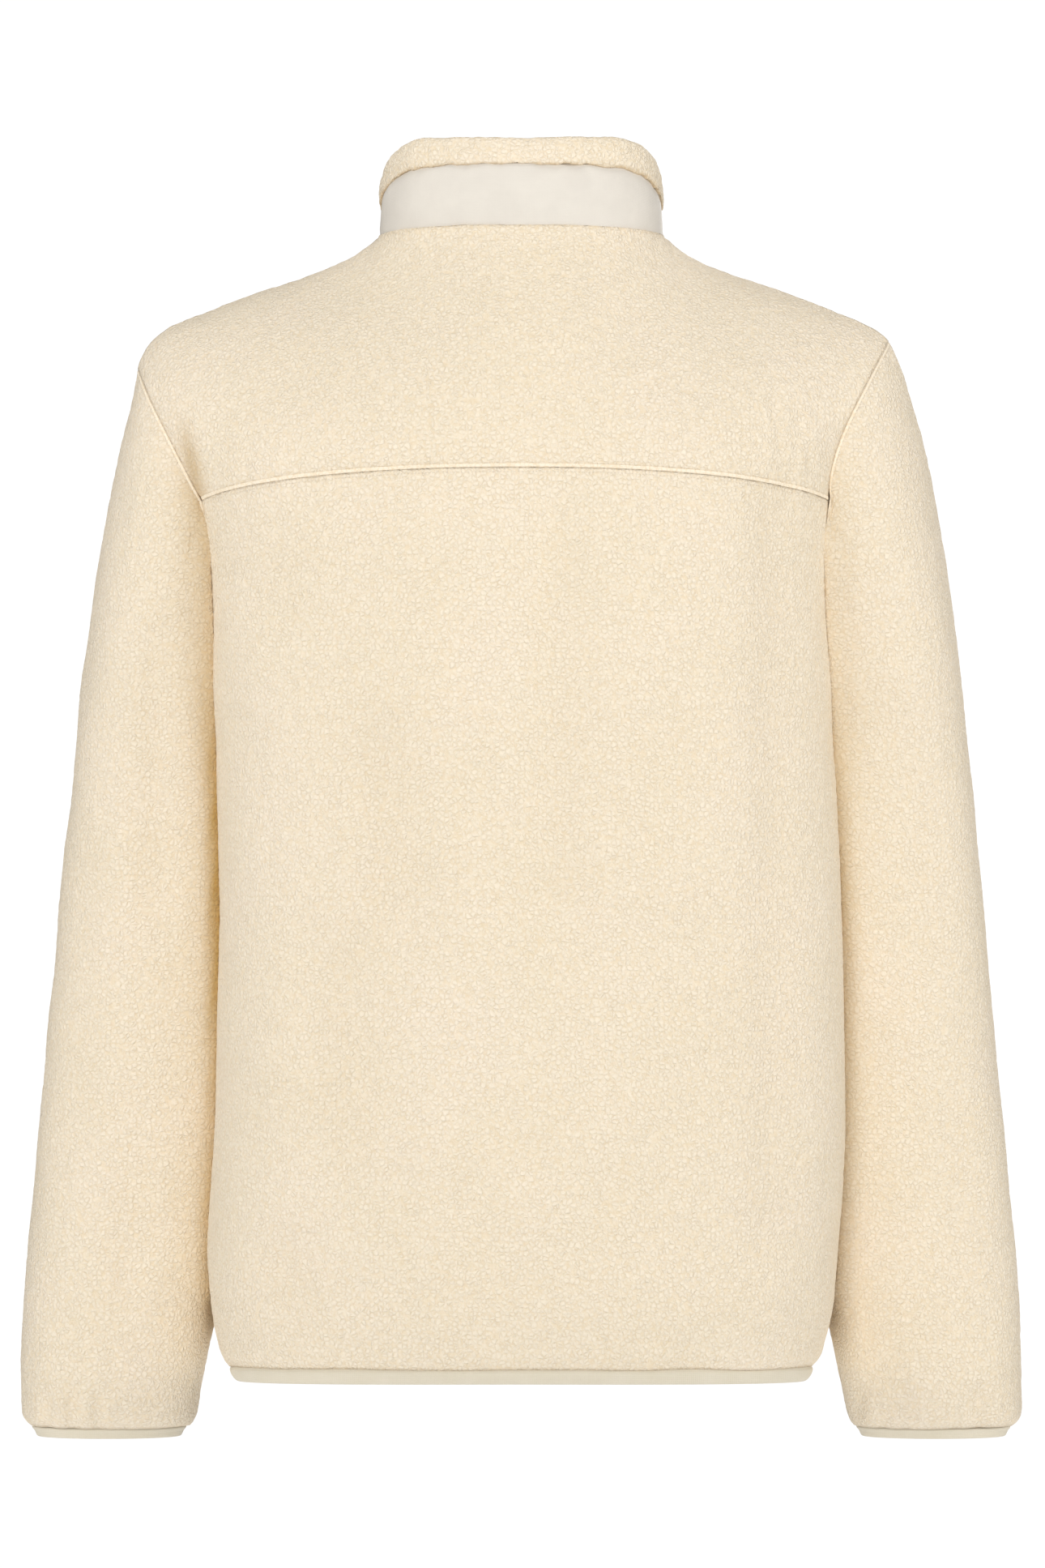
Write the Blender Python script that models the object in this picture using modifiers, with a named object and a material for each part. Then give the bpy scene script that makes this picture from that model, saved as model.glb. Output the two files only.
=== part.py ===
"""High-pile fleece jacket with a stand collar and a full front zip.

The jacket is filled out as if worn, with nothing inside. +Z is up, the front faces -Y and the
wearer's left side is at +X. The origin is the middle of the shoulder line, at the collar seam.
Every length is in metres; the tables are in millimetres and are scaled where they are read.
"""
import bpy
import bmesh
import numpy as np
from math import cos, pi, radians, sin

MM = 0.001
FLEECE_WALL = 0.004
SEAM_HALF_GAP = 0.00025

# Body -----------------------------------------------------------------------------------------
# height: level on the side seam; left, right: half-widths; back, front: depths on the centre line
TORSO = (
    (-684.0, 176.5, 176.5, 117.0, -122.0),
    (-677.0, 180.3, 181.0, 120.5, -125.0),
    (-668.0, 183.3, 183.5, 123.0, -128.0),
    (-655.0, 186.3, 186.8, 126.0, -131.0),
    (-630.0, 188.5, 190.0, 128.5, -135.0),
    (-590.0, 188.5, 193.0, 130.0, -138.0),
    (-540.0, 185.0, 195.5, 130.5, -140.0),
    (-470.0, 183.5, 195.2, 129.0, -140.5),
    (-400.0, 182.8, 193.5, 128.0, -140.0),
    (-330.0, 184.5, 190.5, 129.0, -141.0),
    (-270.0, 188.0, 189.0, 131.5, -143.0),
    (-215.0, 191.5, 188.0, 133.0, -143.0),
    (-190.0, 195.0, 190.0, 133.0, -142.0),
    (-163.0, 201.5, 194.0, 132.0, -139.0),
)
LEFT, RIGHT, BACK, FRONT = 1, 2, 3, 4
BODY_ROUNDNESS = 2.5
SIDE_SEAM_Y = -0.005
HEM_Z = -0.684
HEM_DIP = 0.004
UNDERARM_Z = -0.215
YOKE_END_Z = -0.163
YOKE_ARCH = 0.0146
YOKE_ARCH_REACH = 0.14
ARMHOLE_REACH = 0.058

# Armhole above the yoke line: two handles of the curve from the yoke's end to the shoulder point
ARMHOLE_HANDLES = {
    ("back", LEFT): ((200.0, 62.0, -149.0), (228.5, 43.0, -94.0)),
    ("back", RIGHT): ((180.0, 63.0, -134.0), (215.0, 43.0, -82.0)),
    ("front", LEFT): ((198.0, -70.0, -145.0), (227.5, -47.0, -92.0)),
    ("front", RIGHT): ((181.0, -71.0, -138.0), (216.0, -47.0, -80.0)),
}
# Shoulder line from the collar outwards: out, depth, height
SHOULDER = (
    (86.0, -10.0, 0.0),
    (100.0, -9.0, -10.8),
    (126.0, -7.0, -22.5),
    (159.0, -5.0, -34.3),
    (190.0, -3.0, -46.0),
    (205.0, -2.0, -52.0),
    (215.5, -1.0, -57.8),
    (222.3, 0.0, -64.0),
    (227.0, 0.0, -70.5),
    (230.0, 0.0, -76.0),
    (232.0, 0.0, -81.0),
)
SHOULDER_END = {LEFT: 10, RIGHT: 7}
NECK_SHARE = 6 / 14
CORNER_SHARE = 0.34

# Handles above the yoke line, by place across: 0 centre line, 0.4 side of the neck, 1 armhole
RISE_BACK = ((0.0, 0.0, 2.0, 50.0), (0.4, 0.0, 3.0, 50.0), (1.0, 0.0, 6.0, 40.0))
RISE_FRONT = ((0.0, 0.0, -2.0, 34.0), (0.4, 0.0, -3.0, 50.0), (1.0, 0.0, -6.0, 40.0))
OVER_BACK = (
    (0.0, 0.0, 26.0, -42.0),
    (0.2, 4.0, 28.0, -38.0),
    (0.43, 6.0, 38.0, -14.0),
    (0.6, 2.0, 46.0, -6.0),
    (1.0, -2.0, 44.0, -10.0),
)
OVER_FRONT = (
    (0.0, 0.0, -22.0, -30.0),
    (0.2, 6.0, -26.0, -26.0),
    (0.43, 6.0, -38.0, -14.0),
    (0.6, 2.0, -46.0, -6.0),
    (1.0, -2.0, -46.0, -10.0),
)

# Neck and collar ------------------------------------------------------------------------------
NECK_HALF_WIDTH = 0.086
NECK_HALF_DEPTH = 0.075
NECK_CENTRE_Y = -0.010
NECK_ROUNDNESS = 2.2
NECK_FRONT_DROP = 0.055
# turn: degrees from the centre back; band: top of the woven band; crest: top of the fleece roll
COLLAR = (
    (0.0, 35.2, 53.6),
    (30.0, 35.4, 54.6),
    (45.0, 34.8, 55.0),
    (60.0, 31.5, 52.6),
    (75.0, 25.5, 46.5),
    (90.0, 19.0, 39.0),
    (120.0, 5.0, 26.0),
    (150.0, -10.0, 13.5),
    (180.0, -17.0, 8.0),
)
COLLAR_LEAN = 0.05

# Sleeves --------------------------------------------------------------------------------------
# height; outer, inner: reach from the middle of the jacket; centre: depth of the axis; half_depth
SLEEVE = (
    (-728.0, 296.0, 207.0, -49.0, 34.0),
    (-722.5, 300.0, 202.0, -48.5, 38.5),
    (-717.0, 303.6, 199.6, -48.0, 45.0),
    (-709.0, 305.0, 197.4, -47.0, 49.5),
    (-696.0, 305.2, 194.9, -46.5, 53.0),
    (-664.0, 304.5, 188.0, -48.0, 56.0),
    (-624.0, 302.2, 175.0, -50.5, 58.0),
    (-565.0, 297.1, 166.0, -52.5, 60.0),
    (-505.0, 291.5, 161.0, -53.0, 61.5),
    (-446.0, 286.1, 158.0, -52.0, 63.0),
    (-387.0, 280.8, 157.0, -49.5, 65.0),
    (-330.0, 274.6, 157.0, -44.5, 68.0),
    (-285.0, 269.8, 158.0, -38.0, 71.0),
)
SLEEVE_ROUNDNESS = 2.3
SLEEVE_CLEAR = 0.002
CAP_END_Z = -0.285
CUFF_SEAM_Z = -0.7225
# Leaving the armhole, by place on it, 0 underarm to 1 shoulder point: out on the left sleeve, out
# on the right sleeve, depth and height; reach: how far the hanging tube's own line is felt
LEAVE = (
    (0.0, 2.5, 2.5, 0.0, -20.0, 24.0),
    (0.25, 5.0, 5.0, 0.0, -22.0, 34.0),
    (0.45, 10.0, 12.0, 2.0, -26.0, 48.0),
    (0.7, 15.0, 22.0, 10.0, -38.0, 64.0),
    (1.0, 12.0, 26.0, 0.0, -46.0, 70.0),
)

# Zip ------------------------------------------------------------------------------------------
ZIP_HALF = 0.0075
CHAIN_HALF = 0.0028
CHAIN_NEAR, CHAIN_FAR = 0.0014, 0.0038
TAPE_NEAR, TAPE_FAR = 0.0022, 0.0031
SLIDER_Z = -0.006
BINDING_DROP = 0.0086

# Soft folds: face, x, upper end, lower end, lean of the line, half-width, height of the relief
FOLDS = (
    ("back", -24.5, -150.0, -445.0, 0.0, 14.0, -1.6),
    ("back", 81.0, -290.0, -450.0, 0.08, 18.0, -2.4),
    ("back", 103.0, -405.0, -580.0, 0.04, 18.0, -2.4),
    ("back", 138.0, -585.0, -670.0, 0.05, 16.0, -2.4),
    ("back", 21.0, -570.0, -640.0, 0.0, 16.0, -1.4),
    ("back", -150.0, -130.0, -640.0, 0.0, 20.0, -2.4),
    ("back", -87.0, -160.0, -430.0, 0.0, 42.0, 2.4),
    ("back", 141.0, -165.0, -270.0, 0.0, 16.0, -1.6),
    ("front", 120.0, -250.0, -560.0, 0.03, 20.0, -2.6),
    ("front", 62.0, -390.0, -640.0, -0.04, 20.0, -2.2),
    ("front", -70.0, -300.0, -520.0, 0.04, 20.0, -2.4),
    ("front", -132.0, -200.0, -600.0, -0.03, 20.0, -2.6),
)

# Grid steps -----------------------------------------------------------------------------------
BODY_ROWS = 15
ARMPIT_ROWS = 3
SHOULDER_ROWS = 5
HALF_STEPS = 14
TUBE_ROWS = 15
CAP_ROWS = 5

COLOURS = {
    "fleece": ((0.86, 0.76, 0.61, 1.0), 0.95, 0.0),
    "woven": ((0.84, 0.80, 0.72, 1.0), 0.8, 0.0),
    "elastic": ((0.70, 0.64, 0.53, 1.0), 0.75, 0.0),
    "tape": ((0.80, 0.74, 0.62, 1.0), 0.8, 0.0),
    "teeth": ((0.82, 0.78, 0.68, 1.0), 0.4, 0.0),
    "slider": ((0.78, 0.74, 0.66, 1.0), 0.4, 0.1),
}


def clear_scene():
    for item in list(bpy.data.objects):
        bpy.data.objects.remove(item, do_unlink=True)


def make_material(name, finish):
    colour, roughness, metallic = COLOURS[finish]
    material = bpy.data.materials.new(name)
    material.use_nodes = True
    shader = material.node_tree.nodes["Principled BSDF"]
    shader.inputs["Base Color"].default_value = colour
    shader.inputs["Roughness"].default_value = roughness
    shader.inputs["Metallic"].default_value = metallic
    return material


def add_object(name, shell, finish, collection, smooth=True):
    """Link the mesh held in a bmesh as one named object with a material of its own."""
    bmesh.ops.recalc_face_normals(shell, faces=shell.faces[:])
    mesh = bpy.data.meshes.new(name)
    shell.to_mesh(mesh)
    shell.free()
    if smooth:
        mesh.shade_smooth()
        mesh.set_sharp_from_angle(angle=radians(50))
    item = bpy.data.objects.new(name, mesh)
    item.data.materials.append(make_material(name, finish))
    collection.objects.link(item)
    return item


# Curves ---------------------------------------------------------------------------------------
def smooth_at(rows, column, at):
    """Read one column of a table at any place of its first column, along a smooth curve."""
    table = np.array(sorted(rows), dtype=float)
    knots = table[:, 0]
    values = table[:, column]
    slopes = np.gradient(values, knots)
    at = np.clip(np.asarray(at, dtype=float), knots[0], knots[-1])
    k = np.clip(np.searchsorted(knots, at) - 1, 0, len(knots) - 2)
    step = knots[k + 1] - knots[k]
    f = (at - knots[k]) / step
    start = (1 + 2 * f) * (1 - f) ** 2 * values[k] + f * (1 - f) ** 2 * step * slopes[k]
    end = f * f * (3 - 2 * f) * values[k + 1] - f * f * (1 - f) * step * slopes[k + 1]
    return start + end


def along(points, fractions):
    """Points at given shares of the length of a line of points."""
    points = np.asarray(points, dtype=float)
    steps = np.linalg.norm(np.diff(points, axis=0), axis=1)
    length = np.concatenate(([0.0], np.cumsum(steps)))
    at = np.asarray(fractions) * length[-1]
    return np.stack([np.interp(at, length, points[:, i]) for i in range(points.shape[1])], axis=-1)


def line_length(points):
    return float(np.linalg.norm(np.diff(np.asarray(points), axis=0), axis=1).sum())


def handles(start, first, second, end, w):
    """Points on a cubic with two handles, for the shares w of its run."""
    w = np.asarray(w)[..., None]
    near = (1 - w) ** 3 * start + 3 * w * (1 - w) ** 2 * first
    return near + 3 * w * w * (1 - w) * second + w ** 3 * end


def eased(x):
    x = np.clip(x, 0.0, 1.0)
    return x * x * (3 - 2 * x)


# Body surface ---------------------------------------------------------------------------------
def torso_size(column, z):
    return smooth_at(TORSO, column, np.asarray(z) / MM) * MM


def half_outline(half_width, edge_y, centre_y):
    """The rounded body section from the centre line to the side, or to the armhole's edge."""
    power = 2 / BODY_ROUNDNESS
    depth = centre_y - SIDE_SEAM_Y
    turn = np.linspace(0.0, np.arccos(((edge_y - SIDE_SEAM_Y) / depth) ** (1 / power)), 121)
    x = half_width * np.sin(turn) ** power
    y = SIDE_SEAM_Y + depth * np.cos(turn) ** power
    return np.stack([x, y], axis=1)


def level_row(face, z, edge_y, places):
    """One row of the body below the yoke line. places: -1 right side, 0 centre, 1 left side."""
    centre_y = float(torso_size(BACK if face == "back" else FRONT, z))
    row = np.zeros((len(places), 3))
    for side, sign in ((LEFT, 1), (RIGHT, -1)):
        outline = half_outline(float(torso_size(side, z)), edge_y, centre_y)
        start = zip_start(face, line_length(outline))
        here = places * sign >= 0
        shares = start + (1 - start) * np.abs(places[here])
        spot = along(outline, shares)
        row[here, 0] = sign * spot[:, 0]
        row[here, 1] = spot[:, 1]
    row[:, 2] = z + row_lift(face, z, np.abs(places))
    return row


def zip_start(face, length):
    """Share of a row that the zip's half of the front opening takes."""
    return ZIP_HALF / length if face == "front" else 0.0


def row_lift(face, z, across):
    """The hem dips at the sides, and the back yoke line arches up in the middle."""
    hem = HEM_DIP * (1 - across ** 2) * eased(1 - (z - HEM_Z) / 0.1)
    if face == "front":
        return hem
    arch = eased(1 - (YOKE_END_Z - z) / YOKE_ARCH_REACH)
    return hem + YOKE_ARCH * (1 - across ** 2.2) * arch


def neckline(turns):
    """Collar seam by turn in degrees from the centre back, positive to the left."""
    turns = np.asarray(turns, dtype=float)
    angle = np.radians(np.abs(turns))
    power = 2 / NECK_ROUNDNESS
    x = np.sign(turns) * NECK_HALF_WIDTH * np.abs(np.sin(angle)) ** power
    y = NECK_CENTRE_Y + NECK_HALF_DEPTH * np.sign(np.cos(angle)) * np.abs(np.cos(angle)) ** power
    drop = np.clip(-np.cos(angle), 0.0, 1.0) ** 2
    return np.stack([x, y, -NECK_FRONT_DROP * drop], axis=-1)


def shoulder_line(side):
    """Dense points from the side of the neck to the shoulder point."""
    rows = np.array(SHOULDER[:SHOULDER_END[side] + 1])
    steps = np.concatenate(([0.0], np.cumsum(np.linalg.norm(np.diff(rows, axis=0), axis=1))))
    table = [(run, *row) for run, row in zip(steps, rows)]
    at = np.linspace(0.0, steps[-1], 60)
    return np.stack([smooth_at(table, i, at) for i in (1, 2, 3)], axis=-1) * MM


def top_row(face, places):
    """The upper edge of a body panel: neckline, then shoulder seam."""
    row = np.zeros((len(places), 3))
    turns = np.linspace(0.0, 90.0, 60) if face == "back" else np.linspace(180.0, 90.0, 60)
    neck = neckline(turns)
    start = zip_start(face, line_length(neck))
    for side, sign in ((LEFT, 1), (RIGHT, -1)):
        here = places * sign >= 0
        share = np.abs(places[here])
        on_neck = along(neck, start + (1 - start) * np.clip(share / NECK_SHARE, 0, 1))
        past = np.clip((share - NECK_SHARE) / (1 - NECK_SHARE), 0, 1)
        on_shoulder = along(shoulder_line(side), past)
        spot = np.where((share <= NECK_SHARE)[:, None], on_neck, on_shoulder)
        row[here] = spot * (sign, 1, 1)
    return row


def handle_row(table, places):
    share = np.abs(places)
    offset = np.stack([smooth_at(table, i, share) for i in (1, 2, 3)], axis=-1) * MM
    offset[:, 0] *= np.sign(places)
    return offset


def shoulder_rows(face, places, shares):
    """The body above the yoke line, as one cubic for each place across."""
    reach = ARMHOLE_REACH if face == "back" else -ARMHOLE_REACH
    start = level_row(face, YOKE_END_Z, SIDE_SEAM_Y + reach, places)
    end = top_row(face, places)
    first = start + handle_row(RISE_BACK if face == "back" else RISE_FRONT, places)
    second = end + handle_row(OVER_BACK if face == "back" else OVER_FRONT, places)
    weight = (np.abs(places) ** 5)[:, None]
    for side, sign in ((LEFT, 1), (RIGHT, -1)):
        low, high = np.array(ARMHOLE_HANDLES[(face, side)]) * MM * (sign, 1, 1)
        corner = level_row(face, YOKE_END_Z, SIDE_SEAM_Y + reach, np.array([float(sign)]))[0]
        tip = top_row(face, np.array([float(sign)]))[0]
        here = (places * sign > 0)[:, None]
        first = np.where(here, first + weight * (start + low - corner - first), first)
        second = np.where(here, second + weight * (end + high - tip - second), second)
    ease = corner_ease(face, places, end)
    return [handles(start, first, second + ease, end + ease, np.full(len(places), w)) - ease * w ** 8
            for w in shares]


def corner_ease(face, places, end):
    """Moves the rows below the neck's corner so that its turn is soft everywhere but at the seam."""
    steps = np.linspace(-CORNER_SHARE / 2, CORNER_SHARE / 2, 9)
    spread = [top_row(face, np.clip(places + step, -1, 1)) for step in steps]
    window = eased(1.2 - np.abs(np.abs(places) - NECK_SHARE) / CORNER_SHARE)
    return window[:, None] * (np.mean(spread, axis=0) - end)


def relief(face, points):
    """Height of the soft folds above the plain surface, at each point of a panel."""
    height = np.zeros(points.shape[:-1])
    for fold_face, x, top, bottom, lean, width, depth in FOLDS:
        if fold_face != face:
            continue
        z = points[..., 2] / MM
        middle = x + lean * (z - (top + bottom) / 2)
        run = eased((top - z) / 45.0) * eased((z - bottom) / 45.0)
        across = (points[..., 0] / MM - middle) / width
        height = height + depth * run * np.exp(-across ** 2)
    return height * MM


def plain_surface(face, places, body, armpit, shoulder):
    """Rows of a body panel from the hem up, before its folds."""
    sign = 1 if face == "back" else -1
    rows = [level_row(face, z, SIDE_SEAM_Y, places) for z in HEM_Z + body * (UNDERARM_Z - HEM_Z)]
    for turn in armpit[1:] * pi / 2:
        z = YOKE_END_Z - (YOKE_END_Z - UNDERARM_Z) * cos(turn)
        rows.append(level_row(face, z, SIDE_SEAM_Y + sign * ARMHOLE_REACH * sin(turn), places))
    rows.extend(shoulder_rows(face, places, shoulder[1:]))
    return np.array(rows)


def body_surface(face, places, body, armpit, shoulder):
    """A body panel with its soft folds moved along the normals; they fade out at the sides."""
    grid = plain_surface(face, places, body, armpit, shoulder)
    height = relief(face, grid) * (1 - places ** 8)
    return grid + outward(grid, (0, 1 if face == "back" else -1, 0.2)) * height[..., None]


def outward(grid, side, closed=False):
    """Unit normals of a grid of points, on the side of it that the given direction names."""
    if closed:
        wide = np.concatenate([grid[:, -1:], grid, grid[:, :1]], axis=1)
        across = (wide[:, 2:] - wide[:, :-2])
    else:
        across = np.gradient(grid, axis=1, edge_order=2)
    normal = np.cross(across, np.gradient(grid, axis=0, edge_order=2))
    normal /= np.linalg.norm(normal, axis=-1, keepdims=True)
    if np.sum(normal * np.asarray(side)) < 0:
        normal = -normal
    return normal


# Sleeve surface -------------------------------------------------------------------------------
def sleeve_size(column, z):
    return float(smooth_at(SLEEVE, column, z / MM)) * MM


def body_side_x(side, y, z):
    """How far out the side of the body reaches at a depth and height."""
    depth = np.where(y > SIDE_SEAM_Y, torso_size(BACK, z), torso_size(FRONT, z)) - SIDE_SEAM_Y
    inside = 1 - np.clip(np.abs((y - SIDE_SEAM_Y) / depth), 0, 1) ** BODY_ROUNDNESS
    return torso_size(side, z) * inside ** (1 / BODY_ROUNDNESS)


def tube_half(side, z, shares, back):
    """Half a sleeve section from its inner to its outer side, pressed flat against the body."""
    outer, inner = sleeve_size(1, z), sleeve_size(2, z)
    centre, half_depth = sleeve_size(3, z), sleeve_size(4, z)
    turn = np.linspace(pi, 0.0, 181)
    power = 2 / SLEEVE_ROUNDNESS
    x = (outer + inner) / 2 + (outer - inner) / 2 * np.sign(np.cos(turn)) * np.abs(np.cos(turn)) ** power
    y = centre + (1 if back else -1) * half_depth * np.sin(turn) ** power
    wall = body_side_x(side, y, z) + SLEEVE_CLEAR
    beside = eased((z - HEM_Z) / 0.03)
    soft = 0.002
    pushed = wall + soft * np.logaddexp(0.0, (x - wall) / soft)
    x = x + (pushed - x) * beside
    spot = along(np.stack([x, y], axis=1), shares)
    return np.stack([spot[:, 0], spot[:, 1], np.full(len(shares), z)], axis=-1)


def armhole_edge(face, side, armpit, shoulder):
    """The armhole from the underarm to the shoulder point, as the body panel's own edge has it."""
    place = np.array([1.0 if side == LEFT else -1.0])
    grid = plain_surface(face, place, np.array([1.0]), armpit, shoulder)
    return grid[:, 0] * (place[0], 1, 1)


def sleeve_surface(side, armpit, shoulder, cap, tube):
    """Rings of a sleeve from the armhole to the cuff seam, column by column around it."""
    halves = []
    for face in ("back", "front"):
        edge = armhole_edge(face, side, armpit, shoulder)
        steps = np.linalg.norm(np.diff(edge, axis=0), axis=1)
        shares = np.concatenate(([0.0], np.cumsum(steps))) / steps.sum()
        back = face == "back"
        leave = np.stack([smooth_at(LEAVE, i, shares) for i in (side, 3, 4)], axis=-1) * MM
        leave[:, 1] *= 1 if back else -1
        first_ring = tube_half(side, CAP_END_Z, shares, back)
        run = (first_ring - tube_half(side, CAP_END_Z - 0.03, shares, back)) / 0.03
        above = first_ring + run * smooth_at(LEAVE, 5, shares)[:, None] * MM
        rings = [handles(edge, edge + leave, above, first_ring, np.full(len(shares), w)) for w in cap]
        heights = CAP_END_Z + tube[1:] * (CUFF_SEAM_Z - CAP_END_Z)
        rings.extend(tube_half(side, z, shares, back) for z in heights)
        halves.append(np.array(rings))
    back_half, front_half = halves
    ring = np.concatenate([back_half, front_half[:, -2:0:-1]], axis=1)
    return ring * (1 if side == LEFT else -1, 1, 1)


# Solids ---------------------------------------------------------------------------------------
def join_normals(panels):
    """Give points that two panels share one normal, so that their walls meet edge to edge."""
    shared = {}
    for name, (grid, normals, closed) in panels.items():
        for index in np.ndindex(grid.shape[:2]):
            key = tuple(np.round(grid[index] / 1e-5).astype(int))
            shared.setdefault(key, []).append((name, index))
    for spots in shared.values():
        vectors = [panels[name][1][index].copy() for name, index in spots]
        for (name, index), own in zip(spots, vectors):
            near = [other for other in vectors if np.dot(own, other) > 0.2]
            mean = np.sum(near, axis=0)
            panels[name][1][index] = mean / np.linalg.norm(mean)


def pull_edges(grid, closed):
    """Draw the edges of a panel in by half of the seam's gap."""
    grid = grid.copy()
    sides = [(0, 1), (-1, -2)]
    for edge, inner in sides:
        step = grid[inner] - grid[edge]
        grid[edge] += SEAM_HALF_GAP * step / np.linalg.norm(step, axis=-1, keepdims=True)
    if closed:
        return grid
    for edge, inner in sides:
        step = grid[:, inner] - grid[:, edge]
        grid[:, edge] += SEAM_HALF_GAP * step / np.linalg.norm(step, axis=-1, keepdims=True)
    return grid


def wall(name, grid, normals, closed, finish, collection):
    """A cloth wall: the outer grid, the same grid moved in, and the edges between them."""
    outer = pull_edges(grid, closed)
    inner = outer - normals * FLEECE_WALL
    rows, columns = grid.shape[:2]
    shell = bmesh.new()
    sheets = [[[shell.verts.new(p) for p in row] for row in sheet] for sheet in (outer, inner)]
    spans = [(j, (j + 1) % columns) for j in range(columns if closed else columns - 1)]
    for sheet in sheets:
        for i in range(rows - 1):
            for j, k in spans:
                shell.faces.new((sheet[i][j], sheet[i][k], sheet[i + 1][k], sheet[i + 1][j]))
    near, far = sheets
    for i in (0, rows - 1):
        for j, k in spans:
            shell.faces.new((near[i][j], near[i][k], far[i][k], far[i][j]))
    if not closed:
        for j in (0, columns - 1):
            for i in range(rows - 1):
                shell.faces.new((near[i][j], near[i + 1][j], far[i + 1][j], far[i][j]))
    return add_object(name, shell, finish, collection)


def loft(name, rings, closed, finish, collection, smooth=True):
    """A solid through a run of like rings, joined end to end or closed with a face at each end."""
    shell = bmesh.new()
    loops = [[shell.verts.new(p) for p in ring] for ring in rings]
    count = len(loops[0])
    pairs = list(zip(loops, loops[1:]))
    if closed:
        pairs.append((loops[-1], loops[0]))
    for low, high in pairs:
        for j in range(count):
            k = (j + 1) % count
            shell.faces.new((low[j], low[k], high[k], high[j]))
    if not closed:
        shell.faces.new(loops[0])
        shell.faces.new(loops[-1])
    return add_object(name, shell, finish, collection, smooth)


def plan_normals(path, closed):
    """Level directions across a path, pointing away from its middle."""
    if closed:
        run = np.roll(path, -1, axis=0) - np.roll(path, 1, axis=0)
    else:
        run = np.gradient(path, axis=0)
    across = np.stack([run[:, 1], -run[:, 0], 0 * run[:, 0]], axis=1)
    across /= np.linalg.norm(across, axis=1, keepdims=True)
    middle = path.mean(axis=0)
    if np.sum(across * (path - middle)) < 0:
        across = -across
    return across


def profile_rings(path, profile, closed):
    """Rings of a profile of (out, up) points in millimetres, set along a path."""
    across = plan_normals(path, closed)
    up = np.array((0.0, 0.0, MM))
    return [[p + n * out * MM + up * rise for out, rise in profile] for p, n in zip(path, across)]


def make_fleece_panels(collection):
    """The two back pieces, the two fronts and the sleeves, joined at their seams."""
    body = np.linspace(0.0, 1.0, BODY_ROWS + 1)
    body = body + 0.12 * body * (body - 1) * (1 - body)
    armpit = np.linspace(0.0, 1.0, ARMPIT_ROWS + 1)
    shoulder = np.linspace(0.0, 1.0, SHOULDER_ROWS + 1)
    yoke_row = BODY_ROWS + ARMPIT_ROWS
    back = body_surface("back", np.linspace(-1, 1, 2 * HALF_STEPS + 1), body, armpit, shoulder)
    panels = {
        "back_panel": (back[:yoke_row + 1], (0, 1, 0), False),
        "back_yoke": (back[yoke_row:], (0, 1, 0.3), False),
    }
    for name, sign in (("front_left", 1), ("front_right", -1)):
        places = np.linspace(0.0, 1.0, HALF_STEPS + 1)
        places[0] = 1e-9
        grid = body_surface("front", places * sign, body, armpit, shoulder)
        panels[name] = (grid, (0, -1, 0.3), False)
    tube = np.linspace(0.0, 1.0, TUBE_ROWS + 1)
    tube = tube + 0.5 * tube * tube * (1 - tube)
    cap = np.linspace(0.0, 1.0, CAP_ROWS + 1)
    for name, side, sign in (("sleeve_left", LEFT, 1), ("sleeve_right", RIGHT, -1)):
        panels[name] = (sleeve_surface(side, armpit, shoulder, cap, tube), (0, 0, 1), True)
    for name, (grid, hint, closed) in panels.items():
        panels[name] = (grid, panel_normals(grid, hint, closed), closed)
    join_normals(panels)
    for name, (grid, normals, closed) in panels.items():
        wall(name, grid, normals, closed, "fleece", collection)
    return panels


def panel_normals(grid, hint, closed):
    """Normals that point out of the garment; a sleeve's point away from its own middle."""
    if not closed:
        return outward(grid, hint)
    normals = outward(grid, hint, closed=True)
    away = grid - grid.mean(axis=1, keepdims=True)
    if np.sum(normals * away) < 0:
        normals = -normals
    return normals


def make_hem(panels, collection):
    """Elastic binding below the hem, from one side of the zip round the back to the other."""
    left = panels["front_left"][0][0]
    right = panels["front_right"][0][0]
    back = panels["back_panel"][0][0]
    path = np.concatenate([left, back[-2:0:-1], right[::-1]])
    profile = (
        (-4.0, -0.4), (-1.2, -0.4), (-0.6, -1.6), (-1.6, -5.2),
        (-3.8, -8.2), (-5.6, -8.6), (-7.0, -7.0), (-4.6, -1.6),
    )
    loft("hem_binding", profile_rings(path, profile, False), False, "elastic", collection)


def make_cuffs(collection):
    """Elastic bindings of the cuffs, below the gathered ends of the sleeves."""
    outer, inner = sleeve_size(1, -0.728), sleeve_size(2, -0.728)
    centre, half_depth = sleeve_size(3, -0.728), sleeve_size(4, -0.728)
    turn = np.linspace(0.0, 2 * pi, 24, endpoint=False)
    profile = (
        (-3.0, -0.4), (-0.6, -0.4), (0.0, -1.5), (0.0, -4.6), (-0.8, -6.0), (-2.8, -6.0),
        (-3.4, -4.6), (-3.4, -1.5),
    )
    for name, sign in (("cuff_left", 1), ("cuff_right", -1)):
        x = sign * ((outer + inner) / 2 + (outer - inner) / 2 * np.cos(turn))
        y = centre + half_depth * np.sin(turn)
        path = np.stack([x, y, np.full(len(turn), CUFF_SEAM_Z)], axis=1)
        loft(name, profile_rings(path, profile, True), True, "elastic", collection)


def collar_path(panels):
    """The collar seam from the left side of the zip round the neck to the right side of it."""
    steps = round(NECK_SHARE * HALF_STEPS)
    left = panels["front_left"][0][-1, :steps + 1]
    right = panels["front_right"][0][-1, :steps + 1]
    back = panels["back_yoke"][0][-1]
    back = back[HALF_STEPS - steps + 1:HALF_STEPS + steps][::-1]
    return np.concatenate([left, back, right[::-1]])


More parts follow.
